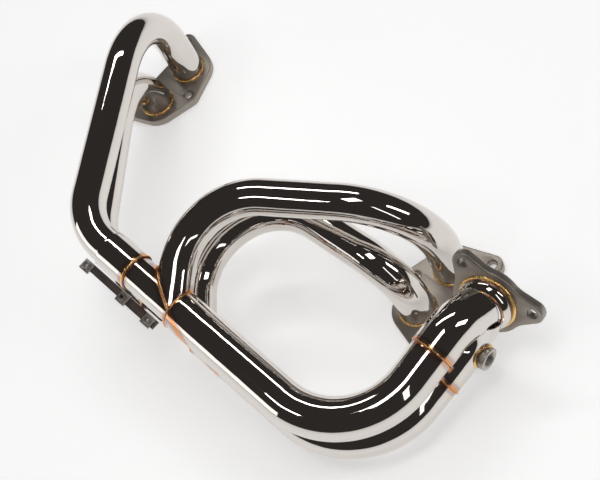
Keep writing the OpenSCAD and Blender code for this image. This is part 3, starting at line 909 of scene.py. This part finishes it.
@made_once
def rail_steel(name, finishes):
    """Dark pressed sheet."""
    s = Shader(name)
    where = s.where()
    cloud = s.noise(where, 90.0, 4.0)
    base = tuple(finishes.rail)
    return s.finish(base_color=s.mix(cloud, tuple(c * 0.7 for c in base),
                                     tuple(c * 1.5 for c in base)),
                    metallic=1.0, roughness=0.36 + cloud * 0.16,
                    normal=s.bump(s.noise(where, 1100.0, 2.0), 0.0003, 0.5))


@made_once
def pad_steel(name, finishes):
    """Bare bracket pads and nuts, with scratches."""
    s = Shader(name)
    where = s.where()
    cloud = s.noise(where, 160.0, 4.0)
    scratch = s.noise(s.stretched(where, (300.0, 2600.0, 2600.0)), 1.0, 2.0)
    base = tuple(finishes.pad)
    return s.finish(base_color=s.mix(cloud, tuple(c * 0.72 for c in base), base), metallic=1.0,
                    roughness=0.27 + cloud * 0.16 + scratch * 0.06,
                    normal=s.bump(scratch, 0.0002, 0.4))


# ---------------------------------------------------------------- operators

def body_for(node):
    return "left_bank" if node.startswith("left_") else "main_header"


class MANIFOLD_OT_primaries(Operator):
    """Builds the four primary tubes"""
    bl_idname = "manifold.primaries"
    bl_label = "Primary Tubes"

    def execute(self, context):
        lay, tubes = Layout(context.scene), context.scene.manifold_tubes
        facets = context.scene.manifold_details.facets
        skin = [polished_steel(), tube_bore()]
        for node in ("left_upper_primary", "left_lower_primary"):
            made = tube_shape(lay.route[node], lay.primary_r, tubes.wall, facets).mesh(node, skin)
            paint_heat(made, lay)
            place(made, node.replace("primary", "primary_tube"), "left_bank",
                  [node])
        for layer, merge, way, mouth in (
                ("upper", lay.upper_merge, lay.upper_in, lay.upper_mouth),
                ("lower", lay.lower_merge, lay.lower_in, lay.lower_mouth)):
            node = f"right_{layer}_primary"
            solid = tube_shape(lay.route[node], lay.primary_r, tubes.wall, facets).mesh(node, skin)
            made = cut(solid, [half_space_mesh(merge, way - lay.line),
                               half_space_mesh(mouth, lay.line)])
            paint_heat(made, lay)
            aim_normals(made, [(lay.route[node], lay.primary_r)])
            place(made, f"right_{layer}_primary_tube", "main_header",
                  [node])
        return {"FINISHED"}


class MANIFOLD_OT_collector_line(Operator):
    """Builds the slip sleeves, the branch tubes and the secondaries"""
    bl_idname = "manifold.collector_line"
    bl_label = "Collector Line"

    def execute(self, context):
        lay, tubes = Layout(context.scene), context.scene.manifold_tubes
        facets = context.scene.manifold_details.facets
        skin = [polished_steel(), tube_bore()]
        for layer, start, merge, way in (
                ("upper", lay.upper_start, lay.upper_merge, lay.upper_in),
                ("lower", lay.lower_base, lay.lower_merge, lay.lower_in)):
            sleeve = Route([start + lay.line * tubes.sleeve_start,
                            start + lay.line * lay.sleeve_end], [])
            made = tube_shape(sleeve, lay.sleeve_r, tubes.wall, facets, 0.4 * MM).mesh(
                f"{layer}_sleeve", skin)
            paint_heat(made, lay)
            place(made, f"{layer}_sleeve", "main_header",
                  [f"{layer}_slip_sleeve"])
            node = f"{layer}_branch_tube"
            solid = tube_shape(lay.route[node], lay.primary_r, tubes.wall, facets).mesh(node, skin)
            made = cut(solid, [half_space_mesh(merge, lay.line - way)])
            paint_heat(made, lay)
            aim_normals(made, [(lay.route[node], lay.primary_r)])
            place(made, f"{layer}_branch", "main_header", [node])
            node = f"{layer}_secondary"
            made = tube_shape(lay.route[node], lay.secondary_r, tubes.wall, facets).mesh(
                node, skin)
            paint_heat(made, lay)
            place(made, f"{layer}_secondary_tube", "main_header", [node])
        return {"FINISHED"}


class MANIFOLD_OT_outlet_elbows(Operator):
    """Builds the two outlet elbows and the collar they run into"""
    bl_idname = "manifold.outlet_elbows"
    bl_label = "Outlet Elbows"

    def execute(self, context):
        lay, tubes = Layout(context.scene), context.scene.manifold_tubes
        scene = context.scene
        facets = scene.manifold_details.facets
        skin = [polished_steel(), tube_bore()]
        upper, lower = lay.route["upper_outlet_elbow"], lay.route["lower_outlet_elbow"]
        bore = lay.elbow_r - tubes.wall
        made = cut(tube_shape(upper, lay.elbow_r, tubes.wall, facets).mesh("upper", skin),
                   [bar_mesh("cutter", lower, bore, facets)])
        paint_heat(made, lay)
        aim_normals(made, [(upper, lay.elbow_r)])
        place(made, "upper_elbow", "main_header", ["upper_outlet_elbow"])

        boss_at, through = at("sensor_thread"), facing("sensor_thread") * 20 * MM
        hole = Route([boss_at - through, boss_at + through], [])
        boss_bore = mounts["sensor_thread"]["dims"]["r_mm"] * MM
        made = cut(tube_shape(lower, lay.elbow_r, tubes.wall, facets).mesh("lower", skin),
                   [bar_mesh("cutter", upper, lay.elbow_r, facets, end_past=30 * MM),
                    half_space_mesh(lay.outlet, lay.outlet_dir),
                    bar_mesh("cutter", hole, boss_bore, 48)])
        paint_heat(made, lay)
        aim_normals(made, [(lower, lay.elbow_r)])
        place(made, "lower_elbow", "main_header", ["lower_outlet_elbow"])

        seated = 2 * MM
        cone = 8 * MM
        x, y = frames_along([lay.outlet_dir])[0]

        def ring(depth, r):
            return ring_points(lay.outlet + lay.outlet_dir * depth, x, y, r, facets)

        shape = Shape()
        small = lay.elbow_r + 1 * MM
        throat = small - 3 * MM
        rows = [ring(0.2 * MM - tubes.collar_len, throat)]
        for k in range(13):
            t = k / 12
            bell = math.sin(math.pi / 2 * t)
            rows.append(ring(-tubes.collar_len + cone * t,
                             small + (lay.collar_r - small) * bell))
        end = tubes.seat - seated
        rows += [ring(0, lay.collar_r), ring(end, lay.collar_r)]
        inner = [ring(end, lay.collar_r - tubes.wall),
                 ring(cone - tubes.collar_len, lay.collar_r - tubes.wall),
                 ring(tubes.wall - tubes.collar_len, throat)]
        shape.grid(rows)
        shape.grid([rows[-1], inner[0]])
        shape.grid(inner, slot=1)
        shape.grid([inner[-1], rows[0]])
        made = cut(shape.mesh("collar", skin), [bar_mesh("cutter", lower, bore, facets),
                                                bar_mesh("cutter", upper, lay.elbow_r, facets)])
        paint_heat(made, lay)
        place(made, "collar", "main_header", ["outlet_collar"])
        return {"FINISHED"}


class MANIFOLD_OT_weld_beads(Operator):
    """Builds every weld bead, with its ripples"""
    bl_idname = "manifold.weld_beads"
    bl_label = "Weld Beads"

    def execute(self, context):
        scene = context.scene
        lay, details = Layout(scene), scene.manifold_details
        bead, ripple = details.bead, details.ripple
        plate = scene.manifold_plates.head_plate
        gold, copper = [gold_weld()], [copper_weld()]
        for k, (side, layer) in enumerate((s, l) for s in ("left", "right")
                                          for l in ("upper", "lower")):
            node = f"{side}_{layer}_port_weld"
            made = ring_bead(node, lay.ports[f"{side}_{layer}_port"] + UP * plate, UP,
                             lay.primary_r, gold, 0.9 * bead, 0.1 * MM, ripple, seed=0.3 * k,
                             lean=math.radians(40))
            place(made, f"{side}_{layer}_port_bead", body_for(node), [node])
        for k, (layer, start, mouth, joint, leg) in enumerate((
                ("upper", lay.upper_start, lay.upper_mouth, lay.upper_joint, lay.upper_leg),
                ("lower", lay.lower_base, lay.lower_mouth, lay.lower_joint, lay.lower_leg))):
            made = ring_bead(f"{layer}_sleeve_bead", start + lay.line * lay.sleeve_end, lay.line,
                             lay.sleeve_r - 0.8 * MM, gold, 0.8 * bead, 0, ripple, seed=0.1 + k)
            place(made, f"{layer}_sleeve_bead", "main_header", [f"{layer}_sleeve_weld"])
            made = ring_bead(f"{layer}_mouth_bead", mouth, -lay.line,
                             (lay.primary_r + lay.secondary_r) / 2 + 0.3 * MM, copper,
                             0.85 * bead, 0, ripple, seed=0.6 + k)
            place(made, f"{layer}_mouth_bead", "main_header", [f"{layer}_merge_weld"])
            made = ring_bead(f"{layer}_joint_bead", joint, leg, lay.elbow_r - 0.3 * MM, copper,
                             0.45 * bead, 0, ripple, seed=0.8 + k)
            place(made, f"{layer}_joint_bead", "main_header",
                  [f"{layer}_secondary_weld"])
        for layer, merge, way in (("upper", lay.upper_merge, lay.upper_in),
                                  ("lower", lay.lower_merge, lay.lower_in)):
            made = self.mitre_bead(lay, layer, merge, way, copper, bead, ripple,
                                   scene.manifold_routes.merge_to_mouth)
            place(made, f"{layer}_mitre_bead", "main_header", [f"{layer}_mitre_weld"])
        made = ring_bead("outlet_bead", lay.outlet, -lay.outlet_dir, lay.collar_r, gold,
                         1.15 * bead, 0.2 * MM, ripple, seed=0.45, lean=math.radians(40))
        place(made, "outlet_bead", "main_header", ["outlet_flange_weld"])
        made = ring_bead("collar_bead", lay.collar_face, lay.outlet_dir, lay.elbow_r - 1.1 * MM,
                         copper, 0.7 * bead, 0, ripple, seed=0.2)
        made = cut(made, [bar_mesh("cutter", lay.route["lower_outlet_elbow"], lay.elbow_r, 64)])
        place(made, "collar_bead", "main_header", ["elbow_collar_weld"])
        boss_at, boss_dir = at("sensor_thread"), facing("sensor_thread")
        self.boss_bead(lay, details, boss_at, boss_dir, gold, ripple)
        return {"FINISHED"}

    def mitre_bead(self, lay, layer, merge, way, materials, bead, ripple, to_mouth):
        """Bead along the oval seam between a branch tube and a merging primary."""
        onward, side = unit(lay.line + way), unit(lay.line - way)
        lateral = np.cross(side, onward)
        half = math.acos(lay.line @ onward)
        long_r, short_r = lay.primary_r / math.sin(half), lay.primary_r
        first = math.acos(min(1, (to_mouth - 1.5 * MM) / math.cos(half) / long_r))
        path, ups, lifts = [], [], []
        for t in np.linspace(first, 2 * math.pi - first, 560):
            p = merge + onward * long_r * math.cos(t) + lateral * short_r * math.sin(t)
            n1 = p - merge - lay.line * ((p - merge) @ lay.line)
            n2 = p - merge - way * ((p - merge) @ way)
            n1, n2 = unit(n1), unit(n2)
            spread = (1 - n1 @ n2) / 2
            path.append(p)
            ups.append(unit(n1 + n2))
            lifts.append(-0.55 * bead + 3.6 * MM * spread ** 0.8)
        return bead_mesh(f"{layer}_mitre_bead", path, ups, [side] * len(path), materials, bead,
                         np.array(lifts), ripple, closed=False, seed=0.15)

    def boss_bead(self, lay, details, boss_at, boss_dir, materials, ripple):
        """Bead round the foot of the sensor boss, following the elbow's curve."""
        route = lay.route["lower_outlet_elbow"]
        p, d, _ = route.points()
        x, y = frames_along([boss_dir])[0]
        path, ups, sides = [], [], []
        for turn in np.linspace(0, 2 * math.pi, 341)[:-1]:
            out = math.cos(turn) * x + math.sin(turn) * y
            foot = boss_at + out * details.boss_r
            near, far = -40 * MM, 20 * MM
            for _ in range(40):
                mid = (near + far) / 2
                q = foot + boss_dir * mid
                inside = np.min(np.linalg.norm(p - q, axis=1)) < lay.elbow_r
                near, far = (mid, far) if inside else (near, mid)
            q = foot + boss_dir * far
            k = int(np.argmin(np.linalg.norm(p - q, axis=1)))
            normal = q - p[k]
            normal = unit(normal - d[k] * (normal @ d[k]))
            path.append(q)
            ups.append(unit(normal + out))
            sides.append(unit(np.cross(ups[-1], np.cross(boss_dir, out))))
        made = bead_mesh("boss_bead", path, ups, sides, materials, 0.8 * details.bead,
                         0.1 * MM, ripple, seed=0.7)
        place(made, "boss_bead", "main_header", ["sensor_bung_weld"])


class MANIFOLD_OT_head_flanges(Operator):
    """Builds the two head flanges"""
    bl_idname = "manifold.head_flanges"
    bl_label = "Head Flanges"

    def execute(self, context):
        lay, plates = Layout(context.scene), context.scene.manifold_plates
        half_pitch = abs(lay.ports["right_upper_port"][1] - lay.ports["right_lower_port"][1]) / 2
        land = lay.primary_r + plates.port_land
        ring = head_outline(plates, half_pitch, land)
        holes = [circle((0, s * half_pitch), plates.port_r) for s in (-1, 1)]
        holes += [circle(c, plates.hole_r, 40) for c in (
            (plates.ear_out, plates.ear_along), (plates.ear_out, -plates.ear_along),
            (-plates.mid_out, 0))]
        for side, turn in (("right", 0), ("left", math.pi)):
            centre = (lay.ports[f"{side}_upper_port"] + lay.ports[f"{side}_lower_port"]) / 2
            place_at = Matrix.Translation(Vector(centre)) @ Matrix.Rotation(turn, 4, "Z")
            made = plate_mesh(f"{side}_flange", [ring] + holes, plates.head_plate,
                              plates.edge_round, [flange_steel()], place_at)
            node = f"{side}_head_flange"
            place(made, f"{side}_flange", body_for(node), [node])
        return {"FINISHED"}


def head_outline(plates, half_pitch, land):
    """Outline of a head flange: two lobes, two outer ears and one inner ear."""
    up, down = (0, half_pitch), (0, -half_pitch)
    ear_up, ear_down = (plates.ear_out, plates.ear_along), (plates.ear_out, -plates.ear_along)
    inner = (-plates.mid_out, 0)
    discs = [(up, land), (down, land), (ear_up, plates.ear_r), (ear_down, plates.ear_r),
             (inner, plates.ear_r)]
    webs = [(up, land, ear_up, plates.ear_r), (down, land, ear_down, plates.ear_r),
            (up, land, inner, plates.ear_r), (down, land, inner, plates.ear_r)]
    inset = 0.5 * MM
    block = (-land + inset, land - inset, half_pitch)
    return union_outline(discs, webs, block)


def union_outline(discs, webs, block=None, steps=720, soften=4 * MM):
    """Outline of discs joined by tangent webs, by casting rays from the middle, with its
    inner corners softened."""
    quads = []
    for a, ra, b, rb in webs:
        left, right = tangent_web(a, ra, b, rb)
        corner = [np.array(c) + r * np.array([math.cos(t), math.sin(t)])
                  for c, r, t in ((a, ra, left), (b, rb, left), (b, rb, right), (a, ra, right))]
        quads.append(corner)
    out = []
    for k in range(steps):
        angle = 2 * math.pi * k / steps
        ray = np.array([math.cos(angle), math.sin(angle)])
        best = 0.0
        for centre, r in discs:
            c = np.array(centre)
            along = c @ ray
            off = r * r - (c @ c - along * along)
            if off > 0:
                best = max(best, along + math.sqrt(off))
        edges = [(q[i], q[(i + 1) % 4]) for q in quads for i in range(4)]
        if block:
            x0, x1, y1 = block
            box = [np.array(v) for v in ((x0, -y1), (x1, -y1), (x1, y1), (x0, y1))]
            edges += [(box[i], box[(i + 1) % 4]) for i in range(4)]
        for p, q in edges:
            side = q - p
            det = ray[0] * -side[1] + side[0] * ray[1]
            if abs(det) > 1e-12:
                t = (p[0] * -side[1] + side[0] * p[1]) / det
                u = (ray[0] * p[1] - ray[1] * p[0]) / det
                if 0 <= u <= 1 and t > best:
                    best = t
        out.append(best * ray)
    return soften_corners(np.array(out), soften)


def soften_corners(ring, reach):
    """Fills sharp inner corners of an outline and spaces its points evenly."""
    closed = np.vstack([ring, ring[:1]])
    s = np.concatenate([[0], np.cumsum(np.linalg.norm(np.diff(closed, axis=0), axis=1))])
    count = int(s[-1] / OUTLINE_STEP)
    even = np.column_stack([np.interp(np.linspace(0, s[-1], count + 1)[:-1], s, closed[:, i])
                            for i in (0, 1)])
    width = max(1, int(reach / OUTLINE_STEP))
    smooth = sum(np.roll(even, k, axis=0) for k in range(-width, width + 1)) / (2 * width + 1)
    ahead, behind = np.roll(even, -width, axis=0), np.roll(even, width, axis=0)
    bend = np.cross(even - behind, ahead - even) / (width * OUTLINE_STEP) ** 2
    inward = np.clip(-bend * 3, 0, 1)[:, None]
    return even * (1 - inward) + smooth * inward


class MANIFOLD_OT_outlet_flange(Operator):
    """Builds the outlet flange"""
    bl_idname = "manifold.outlet_flange"
    bl_label = "Outlet Flange"

    def execute(self, context):
        lay, plates = Layout(context.scene), context.scene.manifold_plates
        tubes = context.scene.manifold_tubes
        turns = [plates.first_bolt + math.radians(t) for t in (0, 120, 240)]
        ears = [(plates.outlet_pcd / 2 * math.cos(t), plates.outlet_pcd / 2 * math.sin(t))
                for t in turns]
        discs = [((0, 0), plates.outlet_disc_r)] + [(e, plates.ear_r) for e in ears]
        webs = [((0, 0), plates.outlet_disc_r - 6 * MM, e, plates.ear_r) for e in ears]
        ring = union_outline(discs, webs, soften=8 * MM)
        bore = lay.collar_r - tubes.wall - 1 * MM
        holes = [circle((0, 0), bore, 96)] + [circle(e, plates.hole_r, 40) for e in ears]
        z = Vector(lay.outlet_dir)
        x = Vector((-z.y, z.x, 0)).normalized() * -1
        y = z.cross(x)
        matrix = Matrix.Translation(Vector(lay.outlet)) @ Matrix((x, y, z)).transposed().to_4x4()
        made = plate_mesh("outlet_plate", [ring] + holes, plates.outlet_plate,
                          plates.edge_round, [flange_steel()], matrix)
        place(made, "outlet_plate", "main_header", ["outlet_flange"])
        return {"FINISHED"}


def thread_radii(z, turn, pitch, hole_r, depth):
    """A threaded hole's radius at height z, for each point round it."""
    phase = z / pitch - turn / (2 * math.pi)
    return hole_r + depth * np.abs((phase - np.floor(phase)) * 2 - 1)


class MANIFOLD_OT_sensor_boss(Operator):
    """Builds the sensor boss with its thread"""
    bl_idname = "manifold.sensor_boss"
    bl_label = "Sensor Boss"

    def execute(self, context):
        lay, details = Layout(context.scene), context.scene.manifold_details
        way = facing("sensor_thread")
        mount_depth, rooted = 4 * MM, 5 * MM
        top = at("sensor_thread") + way * mount_depth
        hole_r = mounts["sensor_thread"]["dims"]["r_mm"] * MM
        foot = top - way * (details.boss_height + rooted)
        x, y = frames_along([way])[0]
        high = details.boss_height + rooted
        r, chamfer, facets = details.boss_r, 1.0 * MM, 72

        def ring(z, radius):
            return ring_points(foot + way * z, x, y, radius, facets)

        shape = Shape()
        rows = [ring(0, r), ring(high - chamfer, r), ring(high - 0.6 * chamfer, r - 0.12 * MM),
                ring(high, r - chamfer)]
        lead = 1.3 * MM             # depth and width of the chamfer at the thread's mouth
        mouth = hole_r + lead
        rows += [ring(high, mouth + 0.1 * MM), ring(high - 0.15 * MM, mouth - 0.1 * MM)]
        turn = turns(facets)
        depth = 0.75 * MM
        steps = int((high - lead) / (details.thread_pitch / 8))
        for k in range(steps + 1):
            z = (high - lead) * (1 - k / steps)
            radius = thread_radii(z, turn, details.thread_pitch, hole_r, depth)
            rows.append(foot + way * z + radius[:, None] * (
                np.cos(turn)[:, None] * x + np.sin(turn)[:, None] * y))
        rows.append(ring(0, hole_r))
        shape.grid(rows, closed_v=True)
        made = shape.mesh("boss", [boss_steel()], sharp=math.radians(30))
        route = lay.route["lower_outlet_elbow"]
        made = cut(made, [bar_mesh("cutter", route, lay.elbow_r - 0.05 * MM, 96)])
        place(made, "boss", "main_header", ["sensor_bung"])
        return {"FINISHED"}


class MANIFOLD_OT_shield_bracket(Operator):
    """Builds the bracket beside the lower sleeve, with its pads and nuts"""
    bl_idname = "manifold.shield_bracket"
    bl_label = "Shield Bracket"

    def execute(self, context):
        lay, details = Layout(context.scene), context.scene.manifold_details
        line = lay.line
        across = unit(np.cross(UP, line))
        up = np.cross(line, across)
        basis = Matrix((line, across, up)).transposed().to_4x4()
        home = Matrix.Translation(Vector(lay.lower_base)) @ basis
        sheet, wide, r = details.sheet, details.rail_w, lay.sleeve_r
        start, end, step = -2 * MM, 123 * MM, 60 * MM
        places = [4 * MM, 68 * MM, 112 * MM]
        pad, out = 15 * MM, r + 7 * MM
        edge = 0.35 * MM
        rail = [(start, -r - wide), (step, -r - wide), (step, -r - 0.3 * MM),
                (start, -r - 0.3 * MM)]
        tail = [(step - 1 * MM, -r - wide - 1.5 * MM), (end, -r - wide - 1.5 * MM),
                (end, -r - 0.3 * MM), (step - 1 * MM, -r - 0.3 * MM)]
        hole = 3.1 * MM
        for k, (name, ring, z, high, spots) in enumerate((
                ("rail", rail, -sheet, sheet, places[:1]),
                ("rail_tail", tail, -2 * sheet, 1.5 * sheet, places[2:]))):
            rings = [dense(ring)] + [circle((p, -out), hole, 32) for p in spots]
            made = plate_mesh(name, rings, high, edge, [rail_steel()],
                              home @ Matrix.Translation((0, 0, z)))
            place(made, f"bracket_{name}", "main_header",
                  ["shield_bracket"] if k == 0 else [])
        for k, along in enumerate(places):
            z = 0 if along < step else -sheet / 2
            half = pad / 2
            reach = r + 0.3 * MM
            ring = [(along - half, -out - half), (along + half, -out - half),
                    (along + half, -reach), (along - half, -reach)]
            made = plate_mesh("pad", [dense(ring), circle((along, -out), hole, 32)], sheet, edge,
                              [pad_steel()], home @ Matrix.Translation((0, 0, z)))
            place(made, f"bracket_pad_{k + 1}", "main_header",
                  ["bracket_pads"] if k == 0 else [])
            made = self.nut(details, home @ Matrix.Translation((along, -out, z + sheet)))
            place(made, f"bracket_nut_{k + 1}", "main_header",
                  ["bracket_nuts"] if k == 0 else [])
        return {"FINISHED"}

    def nut(self, details, matrix):
        """A hexagon nut with chamfered corners and a threaded hole."""
        tall, hex_r, facets = 5 * MM, details.nut_flats / math.sqrt(3), 96
        turn = turns(facets)
        flat = details.nut_flats / 2
        hexagon = flat / np.cos((turn + math.pi / 6) % (math.pi / 3) - math.pi / 6)
        steps, pitch, depth = 28, 0.8 * MM, 0.35 * MM

        def level(z, radii):
            return np.column_stack([radii * np.cos(turn), radii * np.sin(turn),
                                    np.full(facets, z)])

        shape = Shape()
        rows = []
        for z, limit in ((0, 0.93), (0.4 * MM, 1.0), (tall - 0.8 * MM, 1.0), (tall, 0.88)):
            rows.append(level(z, np.minimum(hexagon, hex_r * limit)))
        for k in range(steps + 1):
            z = tall * (1 - k / steps)
            rows.append(level(z, thread_radii(z, turn, pitch, details.nut_hole_r, depth)))
        shape.grid(rows, closed_v=True)
        made = shape.mesh("nut", [pad_steel()], sharp=math.radians(25))
        made.transform(matrix)
        return made


def dense(ring, step=2 * MM):
    """The same outline with points along its sides."""
    out = []
    for a, b in zip(ring, ring[1:] + ring[:1]):
        a, b = np.array(a), np.array(b)
        count = max(1, int(np.linalg.norm(b - a) / step))
        out += [a + (b - a) * k / count for k in range(count)]
    return out


# ---------------------------------------------------------------- stage

class MANIFOLD_OT_stage(Operator):
    """Builds the floor, the lights and the camera"""
    bl_idname = "manifold.stage"
    bl_label = "Stage"

    def execute(self, context):
        scene = context.scene
        low, high = cad_box
        size = 6.0
        glow = 0.36
        shape = Shape()
        shape.verts = [(-size, -size, low[2]), (size, -size, low[2]), (size, size, low[2]),
                       (-size, size, low[2])]
        shape.faces, shape.slots, shape.uvs = [[0, 1, 2, 3]], [0], [[(0, 0)] * 4]
        s = Shader("floor_white")
        material = s.finish(base_color=tuple(scene.manifold_finishes.floor), roughness=0.9,
                            emission_color=(1.0, 1.0, 1.0), emission_strength=glow)
        made = shape.mesh("floor", [material])
        floor = bpy.data.objects.new("floor", made)
        scene.collection.objects.link(floor)

        world = bpy.data.worlds.new("studio")
        world.use_nodes = True
        background = world.node_tree.nodes["Background"]
        background.inputs["Color"].default_value = DIM_ROOM
        background.inputs["Strength"].default_value = 1.0
        scene.world = world
        middle_ = [(a + b) / 2 for a, b in zip(low, high)]
        for name, place_, size_, power, seen in STUDIO:
            self.lamp(scene, name, middle_, place_, size_, power, seen)
        self.camera(scene)
        scene.view_settings.view_transform = "Standard"
        scene.view_settings.look = "None"
        return {"FINISHED"}

    def lamp(self, scene, name, aim, place_, size_, power, seen):
        """A softbox that faces the object. Those that only fill aren't mirrored by the tubes."""
        data = bpy.data.lights.new(name, "AREA")
        data.shape, data.size, data.size_y, data.energy = "RECTANGLE", *size_, power
        lamp = bpy.data.objects.new(name, data)
        lamp.location = [a + p for a, p in zip(aim, place_)]
        toward = Vector(aim) - lamp.location
        lamp.rotation_euler = toward.to_track_quat("-Z", "Y").to_euler()
        lamp.visible_glossy = seen
        scene.collection.objects.link(lamp)

    def camera(self, scene):
        data = bpy.data.cameras.new("camera")
        data.sensor_width, data.lens = CAMERA["sensor_mm"], CAMERA["lens_mm"]
        data.clip_start, data.clip_end = 0.05, 30
        camera = bpy.data.objects.new("camera", data)
        forward, above = Vector(CAMERA["forward"]).normalized(), Vector(CAMERA["above"])
        right = forward.cross(above).normalized()
        above = right.cross(forward)
        turn = Matrix((right, above, -forward)).transposed()
        camera.matrix_world = Matrix.Translation(CAMERA["place"]) @ turn.to_4x4()
        scene.collection.objects.link(camera)
        scene.camera = camera


CAMERA = {"place": (0.67317, -0.31401, 1.37797), "forward": (-0.52327, 0.16432, -0.83617),
          "above": (-0.49446, 0.74061, 0.45497), "sensor_mm": 36.0, "lens_mm": 80.57}
DIM_ROOM = (0.035, 0.031, 0.03, 1)

# Softboxes: name, place from the object's middle, size, power, and whether the tubes mirror it
STUDIO = (
    ("fill", (0.0, 0.0, 3.0), (4.0, 4.0), 44.0, False),
    ("overhead", (0.45, -0.1, 2.4), (0.9, 0.5), 7.0, True),
    ("strip", (-0.9, 0.9, 1.9), (1.6, 0.24), 9.0, True),
    ("window", (1.5, 1.05, 1.3), (0.3, 0.9), 5.0, True),
    ("sweep", (-1.6, -2.6, 0.6), (2.6, 1.1), 13.0, True),
    ("slit", (-0.15, -1.3, 1.9), (0.5, 0.16), 2.0, True),
    ("low_slit", (1.9, -0.35, 1.4), (0.16, 1.4), 1.6, True),
)


class MANIFOLD_PT_panel(Panel):
    """Lists the manifold's pieces"""
    bl_label = "Polished Tube Manifold"
    bl_space_type = "VIEW_3D"
    bl_region_type = "UI"
    bl_category = "Manifold"

    def draw(self, context):
        for piece in PIECES:
            self.layout.operator(piece.bl_idname)


PIECES = (MANIFOLD_OT_primaries, MANIFOLD_OT_collector_line, MANIFOLD_OT_outlet_elbows,
          MANIFOLD_OT_weld_beads, MANIFOLD_OT_head_flanges, MANIFOLD_OT_outlet_flange,
          MANIFOLD_OT_sensor_boss, MANIFOLD_OT_shield_bracket, MANIFOLD_OT_stage)
GROUPS = {"manifold_tubes": TubeSizes, "manifold_routes": RouteSizes,
          "manifold_plates": PlateSizes, "manifold_details": DetailSizes,
          "manifold_finishes": Finishes}


def register():
    for cls in (*GROUPS.values(), *PIECES, MANIFOLD_PT_panel):
        bpy.utils.register_class(cls)
    for name, group in GROUPS.items():
        setattr(bpy.types.Scene, name, PointerProperty(type=group))


def unregister():
    for name in GROUPS:
        delattr(bpy.types.Scene, name)
    for cls in (MANIFOLD_PT_panel, *PIECES[::-1], *tuple(GROUPS.values())[::-1]):
        bpy.utils.unregister_class(cls)


def main():
    register()
    for piece in PIECES:
        group, action = piece.bl_idname.split(".")
        getattr(getattr(bpy.ops, group), action)()


if __name__ == "__main__":
    main()
